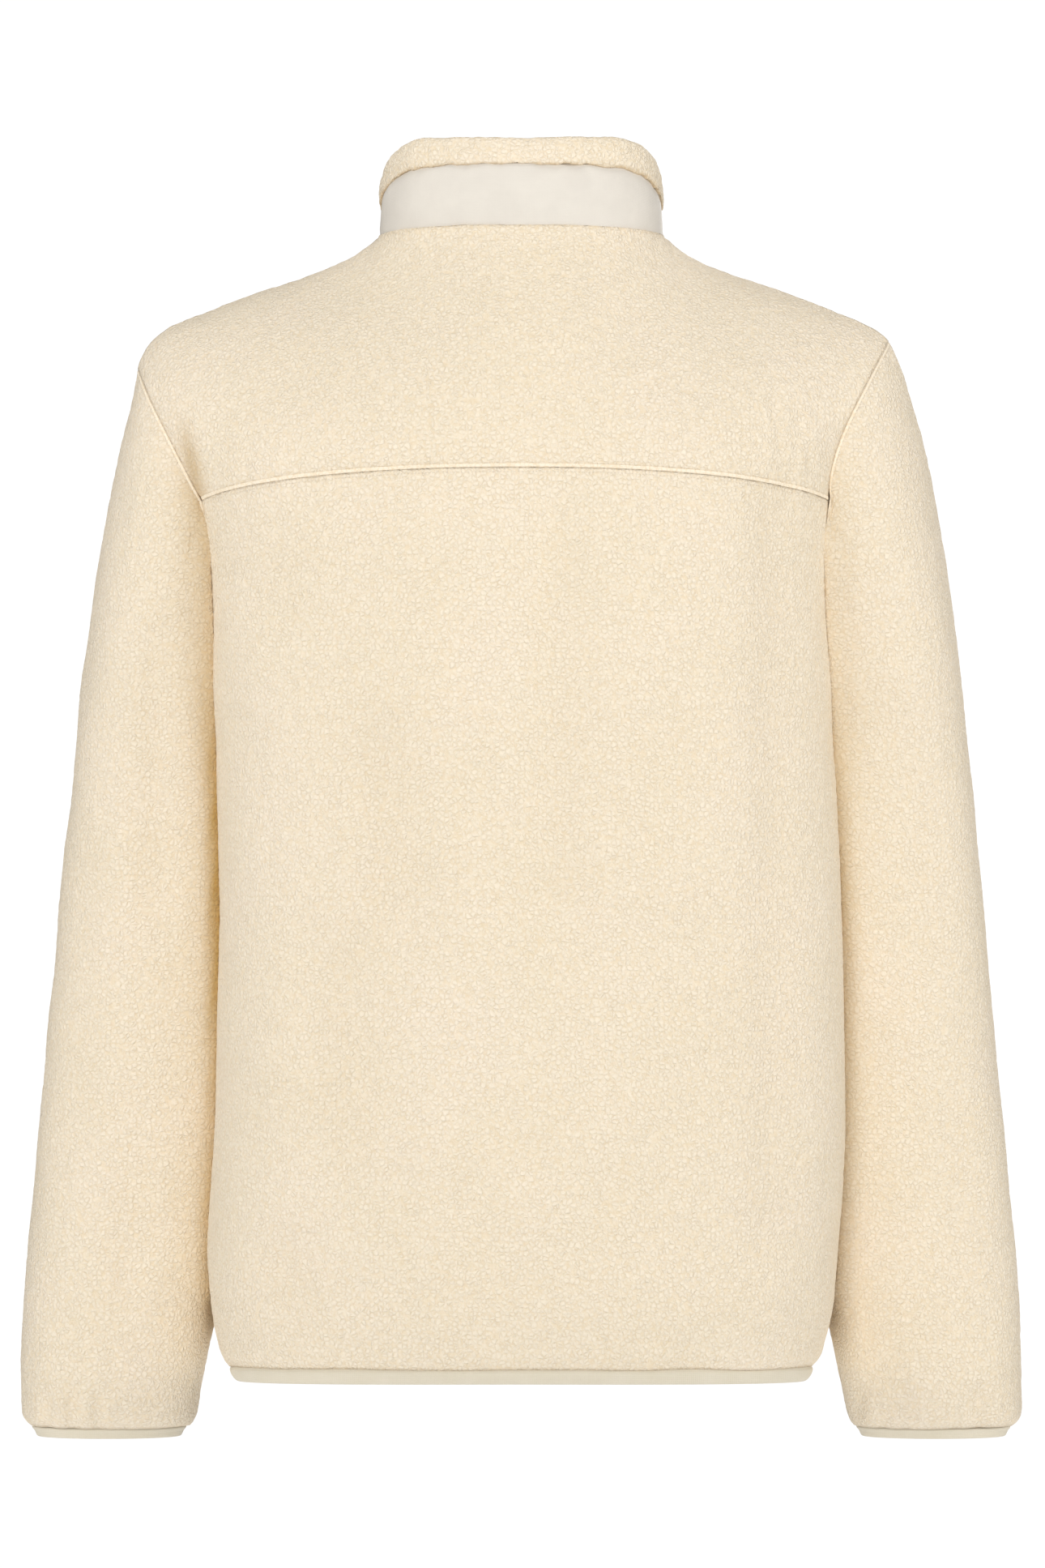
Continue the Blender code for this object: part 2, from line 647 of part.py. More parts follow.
def turn_of(path):
    """Degrees from the centre back of each point of the collar seam."""
    power = NECK_ROUNDNESS / 2
    out = np.abs(path[:, 0] / NECK_HALF_WIDTH) ** power
    y = (path[:, 1] - NECK_CENTRE_Y) / NECK_HALF_DEPTH
    return np.degrees(np.arctan2(out, np.sign(y) * np.abs(y) ** power))


def make_collar(panels, collection):
    """The fleece collar with its rolled top, and the woven band outside its lower part."""
    path = collar_path(panels)
    turns = turn_of(path)
    across = plan_normals(path, False)
    across[0] = across[-1] = (0, -1, 0)
    band = smooth_at(COLLAR, 1, turns) * MM
    crest = smooth_at(COLLAR, 2, turns) * MM
    fleece_rings = []
    band_rings = []
    for p, n, band_z, crest_z in zip(path, across, band, crest):
        seam = p[2] + SEAM_HALF_GAP
        tall = crest_z - band_z
        roll = (
            (-6.0, seam), (-6.2, band_z), (-8.2, band_z + 0.4 * tall), (-8.0, crest_z - 0.24 * tall),
            (-6.2, crest_z - 0.06 * tall), (-3.4, crest_z), (-0.6, crest_z - 0.06 * tall),
            (1.2, crest_z - 0.25 * tall), (1.9, band_z + 0.45 * tall), (1.6, band_z + 0.16 * tall),
            (0.6, band_z + 0.0006), (-1.8, band_z + 0.0004), (-1.8, seam),
        )
        woven = (
            (0.0, seam), (0.0, (seam + band_z) / 2), (0.0, band_z), (-1.5, band_z),
            (-1.5, (seam + band_z) / 2), (-1.5, seam),
        )
        fleece_rings.append([collar_spot(p, n, out, z) for out, z in roll])
        band_rings.append([collar_spot(p, n, out, z) for out, z in woven])
    loft("collar", fleece_rings, False, "fleece", collection)
    loft("collar_band", band_rings, False, "woven", collection)


def collar_spot(p, n, out, z):
    """A point of the collar, which leans in a little as it rises."""
    lean = COLLAR_LEAN * (z - p[2])
    return (p[0] + n[0] * (out * MM - lean), p[1] + n[1] * (out * MM - lean), z)


def centre_front():
    """Depth and height along the middle of the front, from the hem to the top of the collar."""
    body = np.linspace(0.0, 1.0, BODY_ROWS + 1)
    rows = np.linspace(0.0, 1.0, ARMPIT_ROWS + 1)
    tops = np.linspace(0.0, 1.0, SHOULDER_ROWS + 1)
    line = plain_surface("front", np.array([1e-9]), body, rows, tops)[:, 0, 1:]
    seam = line[-1]
    height = np.linspace(0.008, float(smooth_at(COLLAR, 2, 180.0)) * MM - seam[1], 5)
    collar = np.stack([seam[0] + COLLAR_LEAN * height, seam[1] + height], axis=1)
    return np.concatenate([line, collar])


def strip_rings(path, x_near, x_far, near, far):
    """Rings of a flat strip that follows the front, between two depths below its surface."""
    run = np.gradient(path, axis=0)
    run /= np.linalg.norm(run, axis=1, keepdims=True)
    inward = np.stack([run[:, 1], -run[:, 0]], axis=1)
    rings = []
    for (y, z), (dy, dz) in zip(path, inward):
        corners = ((x_near, near), (x_far, near), (x_far, far), (x_near, far))
        rings.append([(x, y + dy * d, z + dz * d) for x, d in corners])
    return rings


def make_zip(collection):
    """Tapes, closed chain, bottom box, slider and pull tab in the middle of the front."""
    path = centre_front()
    path[0, 1] = HEM_Z + HEM_DIP - BINDING_DROP + 0.0006
    tape_edge = ZIP_HALF - 0.0004
    for name, sign in (("zip_tape_left", 1), ("zip_tape_right", -1)):
        rings = strip_rings(path, sign * (CHAIN_HALF + 0.0003), sign * tape_edge, TAPE_NEAR, TAPE_FAR)
        loft(name, rings, False, "tape", collection, smooth=False)
    dense = along(path, np.linspace(0.0, 1.0, 400))
    box_top = path[0, 1] + 0.012
    keep = (dense[:, 1] > box_top + 0.0004) & (dense[:, 1] < SLIDER_Z + 0.0005)
    chain = along(dense[keep], np.linspace(0.0, 1.0, 26))
    rings = strip_rings(chain, -CHAIN_HALF, CHAIN_HALF, CHAIN_NEAR, CHAIN_FAR)
    loft("zip_chain", rings, False, "teeth", collection, smooth=False)
    low = along(dense[dense[:, 1] < box_top], np.array([0.0, 1.0]))
    rings = strip_rings(low, -CHAIN_HALF, CHAIN_HALF, CHAIN_NEAR - 0.0006, CHAIN_FAR + 0.0004)
    loft("zip_box", rings, False, "slider", collection, smooth=False)
    spot = np.interp(SLIDER_Z, dense[:, 1], dense[:, 0])
    make_slider(float(spot), collection)


def box(name, low, high, collection, bevel=0.0):
    """A box between two corners, with its edges rounded where a bevel is given."""
    shell = bmesh.new()
    made = bmesh.ops.create_cube(shell, size=1.0)
    low, high = np.array(low), np.array(high)
    for vert in made["verts"]:
        vert.co = (np.array(vert.co) + 0.5) * (high - low) + low
    item = add_object(name, shell, "slider", collection, smooth=False)
    if bevel:
        rounded = item.modifiers.new("rounded", "BEVEL")
        rounded.width = bevel
        rounded.segments = 2
    return item


def combine(item, cutter, operation):
    step = item.modifiers.new(cutter.name, "BOOLEAN")
    step.operation = operation
    step.object = cutter
    step.solver = "EXACT"


def make_slider(surface_y, collection):
    """Slider of two plates round the chain, with a bail in front, and the tab that hangs on it."""
    helpers = bpy.data.collections.new("slider_helpers")
    bpy.context.scene.collection.children.link(helpers)
    z = SLIDER_Z
    near = surface_y + CHAIN_NEAR - 0.0004
    far = surface_y + CHAIN_FAR + 0.0004
    face = near - 0.0012
    pivot = (0.0, face - 0.0013, z - 0.0005)
    slider = box("slider", (-0.0044, face, z - 0.0055), (0.0044, near, z + 0.0045), collection)
    post = box(
        "slider_post", (-0.0014, near - 0.0005, z + 0.0012), (0.0014, far + 0.0005, z + 0.004), helpers,
    )
    rear = box("slider_rear", (-0.0044, far, z - 0.0055), (0.0044, far + 0.001, z + 0.0045), helpers)
    bail = box(
        "slider_bail", (-0.0008, pivot[1] - 0.0022, pivot[2] - 0.0024),
        (0.0008, face + 0.0004, pivot[2] + 0.0024), helpers,
    )
    eye = box(
        "slider_eye", (-0.002, pivot[1] - 0.0013, pivot[2] - 0.0014),
        (0.002, pivot[1] + 0.0012, pivot[2] + 0.0014), helpers,
    )
    combine(bail, eye, "DIFFERENCE")
    for piece in (post, rear, bail):
        combine(slider, piece, "UNION")
    make_pull_tab(pivot, collection, helpers)
    for helper in (post, rear, bail, eye):
        helper.hide_render = True
        helper.display_type = "WIRE"


def make_pull_tab(pivot, collection, helpers):
    """The tab turns about the bar at its upper end; its origin is on that bar's axis."""
    tab = box("pull_tab", (-0.003, -0.0006, -0.0245), (0.003, 0.0006, 0.0007), collection, 0.0004)
    window = box("pull_tab_window", (-0.0017, -0.002, -0.0052), (0.0017, 0.002, -0.0007), helpers)
    window.hide_render = True
    window.display_type = "WIRE"
    tab.location = pivot
    window.parent = tab
    combine(tab, window, "DIFFERENCE")


def main():
    clear_scene()
    collection = bpy.data.collections.new("fleece_jacket")
    bpy.context.scene.collection.children.link(collection)
    panels = make_fleece_panels(collection)
    make_hem(panels, collection)
    make_cuffs(collection)
    make_collar(panels, collection)
    make_zip(collection)


main()
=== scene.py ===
"""High-pile fleece jacket: how it looks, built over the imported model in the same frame.

The body, sleeves and collar repeat the source's own surfaces on finer grids, with the pile, seams,
folds and gathers added. Lengths are in metres, but the tables of the body, neck, collar, sleeves,
folds and bindings are in millimetres.
"""
import bpy
import numpy as np
from itertools import product
from math import cos, pi, radians, sin
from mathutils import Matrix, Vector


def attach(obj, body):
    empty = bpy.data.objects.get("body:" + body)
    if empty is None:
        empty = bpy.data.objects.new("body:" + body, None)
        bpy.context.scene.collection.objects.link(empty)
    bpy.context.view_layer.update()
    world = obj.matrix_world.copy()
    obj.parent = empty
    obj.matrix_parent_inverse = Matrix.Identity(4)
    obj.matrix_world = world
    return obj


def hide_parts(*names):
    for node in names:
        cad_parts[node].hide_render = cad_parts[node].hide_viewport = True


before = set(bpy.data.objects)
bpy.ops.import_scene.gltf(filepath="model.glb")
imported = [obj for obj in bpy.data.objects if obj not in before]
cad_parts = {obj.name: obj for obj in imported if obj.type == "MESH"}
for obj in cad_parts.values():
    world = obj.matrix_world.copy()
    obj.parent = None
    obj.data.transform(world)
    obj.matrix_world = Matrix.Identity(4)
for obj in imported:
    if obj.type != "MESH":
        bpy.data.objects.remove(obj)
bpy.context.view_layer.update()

MM = 0.001
SEAM_HALF_GAP = 0.0001

# Body --------------------------------------------
# height: level on the side seam; left, right: half-widths; back, front: depths on the centre line
TORSO = (
    (-684, 176.5, 176.5, 117, -122),
    (-677, 180.3, 181, 120.5, -125),
    (-668, 183.3, 183.5, 123, -128),
    (-655, 186.3, 186.8, 126, -131),
    (-630, 188.5, 190, 128.5, -135),
    (-590, 188.5, 193, 130, -138),
    (-540, 185, 195.5, 130.5, -140),
    (-470, 183.5, 195.2, 129, -140.5),
    (-400, 182.8, 193.5, 128, -140),
    (-330, 184.5, 190.5, 129, -141),
    (-270, 188, 189, 131.5, -143),
    (-215, 191.5, 188, 133, -143),
    (-190, 195, 190, 133, -142),
    (-163, 201.5, 194, 132, -139),
)
LEFT, RIGHT = 1, 2
SIDES = ((LEFT, 1), (RIGHT, -1))
DEPTH_COLUMN = {"back": 3, "front": 4}
FACE_SIGN = {"back": 1, "front": -1}
BODY_ROUNDNESS = 2.5
SIDE_SEAM_Y = -0.005
HEM_Z = -0.684
HEM_DIP = 0.004
HEM_DIP_REACH = 0.1
UNDERARM_Z = -0.215
YOKE_END_Z = -0.163
YOKE_ARCH = 0.0146
YOKE_ARCH_REACH = 0.14
ARMHOLE_REACH = 0.058
UNDERARM_EASE = 0.34

# Armhole above the yoke line: two handles of the curve from the yoke's end to the shoulder point
ARMHOLE_HANDLES = {
    ("back", LEFT): ((200, 62, -149), (228.5, 43, -94)),
    ("back", RIGHT): ((180, 63, -134), (215, 43, -82)),
    ("front", LEFT): ((198, -70, -145), (227.5, -47, -92)),
    ("front", RIGHT): ((181, -71, -138), (216, -47, -80)),
}
# Shoulder line from the collar outwards: out, depth, height
SHOULDER = (
    (86, -10, 0),
    (100, -9, -10.8),
    (126, -7, -22.5),
    (159, -5, -34.3),
    (190, -3, -46),
    (205, -2, -52),
    (215.5, -1, -57.8),
    (222.3, 0, -64),
    (227, 0, -70.5),
    (230, 0, -76),
    (232, 0, -81),
)
SHOULDER_END = {LEFT: 10, RIGHT: 7}
NECK_SHARE = 6 / 14
CORNER_SHARE = 0.34

# Handles above the yoke line and below the top edge: place across (0 centre line, 0.4 side of the
# neck, 1 armhole), then out, depth and height
RISE = {
    "back": ((0, 0, 2, 50), (0.4, 0, 3, 50), (1, 0, 6, 40)),
    "front": ((0, 0, -2, 34), (0.4, 0, -3, 50), (1, 0, -6, 40)),
}
OVER = {
    "back": (
        (0, 0, 26, -42), (0.2, 4, 28, -38), (0.43, 6, 38, -14), (0.6, 2, 46, -6), (1, -2, 44, -10),
    ),
    "front": (
        (0, 0, -22, -30), (0.2, 6, -26, -26), (0.43, 6, -38, -14), (0.6, 2, -46, -6),
        (1, -2, -46, -10),
    ),
}

# Neck and collar ---------------------------------
NECK_HALF_WIDTH = 0.086
NECK_HALF_DEPTH = 0.075
NECK_CENTRE_Y = -0.010
NECK_ROUNDNESS = 2.2
NECK_FRONT_DROP = 0.055
# turn: degrees from the centre back; band: top of the woven band; crest: top of the fleece roll
COLLAR = (
    (0, 35.2, 53.6),
    (30, 35.4, 54.6),
    (45, 34.8, 55),
    (60, 31.5, 52.6),
    (75, 25.5, 46.5),
    (90, 19, 39),
    (120, 5, 26),
    (150, -10, 13.5),
    (180, -17, 8),
)
COLLAR_LEAN = 0.05

# Sleeves -----------------------------------------
# height; outer, inner: reach from the middle of the jacket; centre: depth of the axis; half_depth
SLEEVE = (
    (-728, 296, 207, -49, 34),
    (-722.5, 300, 202, -48.5, 38.5),
    (-717, 303.6, 199.6, -48, 45),
    (-709, 305, 197.4, -47, 49.5),
    (-696, 305.2, 194.9, -46.5, 53),
    (-664, 304.5, 188, -48, 56),
    (-624, 302.2, 175, -50.5, 58),
    (-565, 297.1, 166, -52.5, 60),
    (-505, 291.5, 161, -53, 61.5),
    (-446, 286.1, 158, -52, 63),
    (-387, 280.8, 157, -49.5, 65),
    (-330, 274.6, 157, -44.5, 68),
    (-285, 269.8, 158, -38, 71),
)
SLEEVE_ROUNDNESS = 2.3
SLEEVE_CLEAR, SLEEVE_GIVE = 0.0004, 0.002
# The body's sides push the sleeves out above the hem; the sleeves hug them down to a level
PUSH_FADE = 0.03
SLEEVE_PRESS, PRESS_END_Z, PRESS_REACH, PRESS_FADE = 0.0016, -0.655, 0.008, 0.02
CAP_END_Z = -0.285
CUFF_SEAM_Z, CUFF_END_Z = -0.7225, -0.728
TUBE_STEP = 0.03
# Leaving the armhole, by place on it, 0 underarm to 1 shoulder point: out on the left sleeve, out
# on the right sleeve, depth and height; reach: how far the hanging tube's own line is felt
LEAVE = (
    (0, 2.5, 2.5, 0, -20, 24),
    (0.25, 5, 5, 0, -22, 34),
    (0.45, 10, 12, 2, -26, 48),
    (0.7, 15, 22, 10, -38, 64),
    (1, 12, 26, 0, -46, 70),
)

# Zip ---------------------------------------------
ZIP_HALF = 0.0075
CHAIN_HALF = 0.0028
CHAIN_NEAR, CHAIN_FAR = 0.0014, 0.0038
TAPE_NEAR, TAPE_FAR = 0.0022, 0.0031
SLIDER_Z = -0.006
BINDING_DROP = 0.0086

# Soft folds by panel and face: x, upper end, lower end, lean of the line, half-width, height
FOLDS = {
    ("back", "back"): (
        (-24.5, -150, -445, 0, 18, -3.2),
        (81, -280, -450, 0.08, 21, -4.6),
        (103, -400, -580, 0.04, 21, -4.6),
        (138, -580, -674, 0.05, 19, -4.6),
        (21, -570, -640, 0, 17, -2),
        (-152, -130, -640, 0, 19, -4.6),
        (-87, -160, -430, 0, 42, 3.2),
        (141, -165, -270, 0, 17, -2.2),
    ),
    ("front", "front"): (
        (120, -250, -560, 0.03, 20, -2.6),
        (62, -390, -640, -0.04, 20, -2.2),
        (-70, -300, -520, 0.04, 20, -2.4),
        (-132, -200, -600, -0.03, 20, -2.6),
    ),
    ("sleeve_left", "back"): (
        (221, -215, -450, -0.02, 13, -2.2),
        (262, -330, -600, -0.06, 18, -1.6),
        (236, -520, -690, -0.04, 14, -1.6),
    ),
    ("sleeve_left", "front"): (
        (236, -250, -520, -0.05, 16, -2.4),
        (268, -420, -660, -0.06, 15, -2),
    ),
    ("sleeve_right", "back"): (
        (-238, -260, -480, 0.05, 16, -1.6),
        (-262, -470, -680, 0.06, 16, -1.6),
    ),
    ("sleeve_right", "front"): (
        (-232, -240, -500, 0.05, 16, -2.4),
        (-262, -440, -670, 0.06, 15, -2),
    ),
}
# Short crinkles at the ends of the yoke seam, in the same columns
CRINKLES = {
    ("back", "back"): (
        (-154, -88, -166, 0.12, 4, -1.3),
        (-163, -104, -178, -0.1, 3.2, -1),
        (-171, -112, -160, 0.2, 3, -0.9),
        (163, -120, -175, -0.1, 3.6, -0.8),
    ),
}
# Gathers above the cuffs: x, upper end, half-width, height
GATHERS = {
    ("sleeve_left", "back"): (
        (287, -690, 4, -3),
        (272, -682, 5, -3.4),
        (256, -694, 4.5, -2.6),
        (241, -700, 5, -2.2),
        (229, -705, 4, -1.8),
    ),
    ("sleeve_left", "front"): (
        (284, -686, 4.5, -3),
        (266, -694, 5, -3),
        (247, -684, 4.5, -2.8),
        (226, -698, 4, -2.2),
    ),
    ("sleeve_right", "back"): (
        (-204, -688, 5, -2.6),
        (-219, -696, 4.5, -3),
        (-233, -690, 4, -2.2),
        (-262, -702, 5, -1.6),
        (-277, -686, 5, -3.2),
    ),
    ("sleeve_right", "front"): (
        (-220, -692, 4.5, -2.8),
        (-240, -684, 5, -2.6),
        (-264, -696, 4.5, -3),
        (-283, -688, 4.5, -3),
    ),
}
FADE, SLEEVE_FADE, CRINKLE_FADE = 45, 60, 16
GATHER_FADES, GATHER_END = (26, 16), -727


# Curves ------------------------------------------
def smooth_at(rows, column, at):
    """Read one column of a table at any place of its first column, along a smooth curve."""
    table = np.array(sorted(rows), dtype=float)
    knots = table[:, 0]
    values = table[:, column]
    slopes = np.gradient(values, knots)
    at = np.clip(np.asarray(at, dtype=float), knots[0], knots[-1])
    k = np.clip(np.searchsorted(knots, at) - 1, 0, len(knots) - 2)
    step = knots[k + 1] - knots[k]
    f = (at - knots[k]) / step
    start = (1 + 2 * f) * (1 - f) ** 2 * values[k] + f * (1 - f) ** 2 * step * slopes[k]
    end = f * f * (3 - 2 * f) * values[k + 1] - f * f * (1 - f) * step * slopes[k + 1]
    return start + end


def run_lengths(points):
    """How far along its line each point lies; the lines run down the first axis."""
    steps = np.linalg.norm(np.diff(points, axis=0), axis=-1)
    return np.concatenate([np.zeros((1, *steps.shape[1:])), np.cumsum(steps, axis=0)])


def along(points, fractions):
    """Points at given shares of the length of a line of points."""
    points = np.asarray(points, dtype=float)
    length = run_lengths(points)
    at = np.asarray(fractions) * length[-1]
    return np.stack([np.interp(at, length, points[:, i]) for i in range(points.shape[1])], axis=-1)


def line_length(points):
    return float(np.linalg.norm(np.diff(np.asarray(points), axis=0), axis=1).sum())


def powered(value, power):
    return np.sign(value) * np.abs(value) ** power


def unit(vectors):
    return vectors / np.linalg.norm(vectors, axis=-1, keepdims=True)


def even_shares(count):
    return np.linspace(0.0, 1.0, count + 1)


def table_points(rows, columns, at):
    """Points in metres whose parts are columns of a table in millimetres, read by smooth_at."""
    return np.stack([smooth_at(rows, i, at) for i in columns], axis=-1) * MM


def size_at(table, column, z):
    """A measure of the body or a sleeve at a height, both in metres."""
    return smooth_at(table, column, np.asarray(z) / MM) * MM


def handles(start, first, second, end, w):
    """Points at a share w of the runs of cubics with two handles."""
    near = (1 - w) ** 3 * start + 3 * w * (1 - w) ** 2 * first
    return near + 3 * w * w * (1 - w) * second + w ** 3 * end


def eased(x):
    x = np.clip(x, 0.0, 1.0)
    return x * x * (3 - 2 * x)


# Body surface ------------------------------------
def half_outline(half_width, edge_y, centre_y):
    """The rounded body section from the centre line to the side, or to the armhole's edge."""
    power = 2 / BODY_ROUNDNESS
    depth = centre_y - SIDE_SEAM_Y
    turn = np.linspace(0.0, np.arccos(((edge_y - SIDE_SEAM_Y) / depth) ** (1 / power)), 121)
    x = half_width * np.sin(turn) ** power
    y = SIDE_SEAM_Y + depth * np.cos(turn) ** power
    return np.stack([x, y], axis=1)


def level_row(face, z, edge_y, places):
    """One row of the body below the yoke line. places: -1 right side, 0 centre, 1 left side."""
    centre_y = size_at(TORSO, DEPTH_COLUMN[face], z)
    row = np.zeros((len(places), 3))
    kept = np.ones(len(places))
    low = np.clip(1 - abs(edge_y - SIDE_SEAM_Y) / (UNDERARM_EASE * ARMHOLE_REACH), 0, 1)
    for side, sign in SIDES:
        half_width = size_at(TORSO, side, z)
        outline = half_outline(half_width, edge_y, centre_y)
        length = line_length(outline)
        whole = line_length(half_outline(half_width, SIDE_SEAM_Y, centre_y))
        start = zip_start(face, length)
        here = places * sign >= 0
        kept[here] = 1 - low * (1 - length / whole)
        spot = along(outline, start + (1 - start) * np.abs(places[here]))
        row[here, 0] = sign * spot[:, 0]
        row[here, 1] = spot[:, 1]
    row[:, 2] = z + row_lift(face, z, np.abs(places) * kept)
    return row


def zip_start(face, length):
    """Share of a row that the zip's half of the front opening takes."""
    return ZIP_HALF / length if face == "front" else 0.0


def row_lift(face, z, across):
    """The hem dips at the sides, and the back yoke line arches up in the middle."""
    hem = HEM_DIP * (1 - across ** 2) * eased(1 - (z - HEM_Z) / HEM_DIP_REACH)
    if face == "front":
        return hem
    arch = eased(1 - (YOKE_END_Z - z) / YOKE_ARCH_REACH)
    return hem + YOKE_ARCH * (1 - across ** 2.2) * arch


def neckline(turns):
    """Collar seam by turn in degrees from the centre back, positive to the left."""
    turns = np.asarray(turns, dtype=float)
    angle = np.radians(np.abs(turns))
    power = 2 / NECK_ROUNDNESS
    x = np.sign(turns) * NECK_HALF_WIDTH * np.abs(np.sin(angle)) ** power
    y = NECK_CENTRE_Y + NECK_HALF_DEPTH * powered(np.cos(angle), power)
    drop = np.clip(-np.cos(angle), 0.0, 1.0) ** 2
    return np.stack([x, y, -NECK_FRONT_DROP * drop], axis=-1)


def shoulder_line(side):
    """Dense points from the side of the neck to the shoulder point."""
    rows = np.array(SHOULDER[:SHOULDER_END[side] + 1])
    steps = run_lengths(rows)
    table = [(run, *row) for run, row in zip(steps, rows)]
    return table_points(table, (1, 2, 3), np.linspace(0.0, steps[-1], 60))


def top_row(face, places):
    """The upper edge of a body panel: neckline, then shoulder seam."""
    row = np.zeros((len(places), 3))
    neck = neckline(np.linspace(0.0 if face == "back" else 180.0, 90.0, 60))
    start = zip_start(face, line_length(neck))
    for side, sign in SIDES:
        here = places * sign >= 0
        share = np.abs(places[here])
        on_neck = along(neck, start + (1 - start) * np.clip(share / NECK_SHARE, 0, 1))
        past = np.clip((share - NECK_SHARE) / (1 - NECK_SHARE), 0, 1)
        on_shoulder = along(shoulder_line(side), past)
        spot = np.where((share <= NECK_SHARE)[:, None], on_neck, on_shoulder)
        row[here] = spot * (sign, 1, 1)
    return row


def handle_row(table, places):
    offset = table_points(table, (1, 2, 3), np.abs(places))
    offset[:, 0] *= np.sign(places)
    return offset


def shoulder_rows(face, places, shares):
    """The body above the yoke line, as one cubic for each place across."""
    edge_y = SIDE_SEAM_Y + FACE_SIGN[face] * ARMHOLE_REACH
    start = level_row(face, YOKE_END_Z, edge_y, places)
    end = top_row(face, places)
    first = start + handle_row(RISE[face], places)
    second = end + handle_row(OVER[face], places)
    weight = (np.abs(places) ** 5)[:, None]
    for side, sign in SIDES:
        low, high = np.array(ARMHOLE_HANDLES[(face, side)]) * MM * (sign, 1, 1)
        corner = level_row(face, YOKE_END_Z, edge_y, np.array([float(sign)]))[0]
        tip = top_row(face, np.array([float(sign)]))[0]
        here = (places * sign > 0)[:, None]
        first = np.where(here, first + weight * (start + low - corner - first), first)
        second = np.where(here, second + weight * (end + high - tip - second), second)
    ease = corner_ease(face, places, end)
    return [handles(start, first, second + ease, end + ease, w) - ease * w ** 8 for w in shares]


def corner_ease(face, places, end):
    """Moves the rows below the neck's corner, so that its turn is soft except at the seam."""
    steps = np.linspace(-CORNER_SHARE / 2, CORNER_SHARE / 2, 9)
    spread = [top_row(face, np.clip(places + step, -1, 1)) for step in steps]
    window = eased(1.2 - np.abs(np.abs(places) - NECK_SHARE) / CORNER_SHARE)
    return window[:, None] * (np.mean(spread, axis=0) - end)


def plain_surface(face, places, body, armpit, shoulder):
    """Rows of a body panel from the hem up, before its folds."""
    rows = [level_row(face, z, SIDE_SEAM_Y, places) for z in HEM_Z + body * (UNDERARM_Z - HEM_Z)]
    for turn in armpit[1:] * pi / 2:
        z = YOKE_END_Z - (YOKE_END_Z - UNDERARM_Z) * cos(turn)
        edge_y = SIDE_SEAM_Y + FACE_SIGN[face] * ARMHOLE_REACH * sin(turn)
        rows.append(level_row(face, z, edge_y, places))
    rows.extend(shoulder_rows(face, places, shoulder[1:]))
    return np.array(rows)


def sheet_normals(grid, side):
    """Unit normals of an open grid, on the side of it that the given direction names."""
    across, along_run = (np.gradient(grid, axis=k, edge_order=2) for k in (1, 0))
    normal = unit(np.cross(across, along_run))
    return -normal if np.sum(normal * np.asarray(side)) < 0 else normal


def ring_normals(rings):
    """Unit normals of a grid of rings, pointing away from each ring's own middle."""
    around = np.roll(rings, -1, axis=1) - np.roll(rings, 1, axis=1)
    normal = unit(np.cross(around, np.gradient(rings, axis=0, edge_order=2)))
    away = rings - rings.mean(axis=1, keepdims=True)
    return -normal if np.sum(normal * away) < 0 else normal


# Sleeve surface ----------------------------------
def body_side_x(side, y, z):
    """How far out the side of the body reaches at a depth and height."""
    back, front = (size_at(TORSO, DEPTH_COLUMN[face], z) for face in ("back", "front"))
    depth = np.where(y > SIDE_SEAM_Y, back, front) - SIDE_SEAM_Y
    inside = 1 - np.clip(np.abs((y - SIDE_SEAM_Y) / depth), 0, 1) ** BODY_ROUNDNESS
    return size_at(TORSO, side, z) * inside ** (1 / BODY_ROUNDNESS)


def tube_half(side, z, shares, back):
    """Half a sleeve section from its inner to its outer side, pressed flat against the body."""
    outer, inner, centre, half_depth = (size_at(SLEEVE, i, z) for i in (1, 2, 3, 4))
    turn = np.linspace(pi, 0.0, 181)
    power = 2 / SLEEVE_ROUNDNESS
    x = (outer + inner) / 2 + (outer - inner) / 2 * powered(np.cos(turn), power)
    y = centre + (1 if back else -1) * half_depth * np.sin(turn) ** power
    wall = body_side_x(side, y, z) + SLEEVE_CLEAR
    pushed = wall + SLEEVE_GIVE * np.logaddexp(0.0, (x - wall) / SLEEVE_GIVE)
    x = x + (pushed - x) * eased((z - HEM_Z) / PUSH_FADE)
    spot = along(np.stack([x, y], axis=1), shares)
    return np.stack([spot[:, 0], spot[:, 1], np.full(len(shares), z)], axis=-1)


def armhole_edge(face, side, armpit, shoulder):
    """The armhole from the underarm to the shoulder point, as the body panel's own edge has it."""
    place = np.array([1.0 if side == LEFT else -1.0])
    grid = plain_surface(face, place, np.array([1.0]), armpit, shoulder)
    return grid[:, 0] * (place[0], 1, 1)


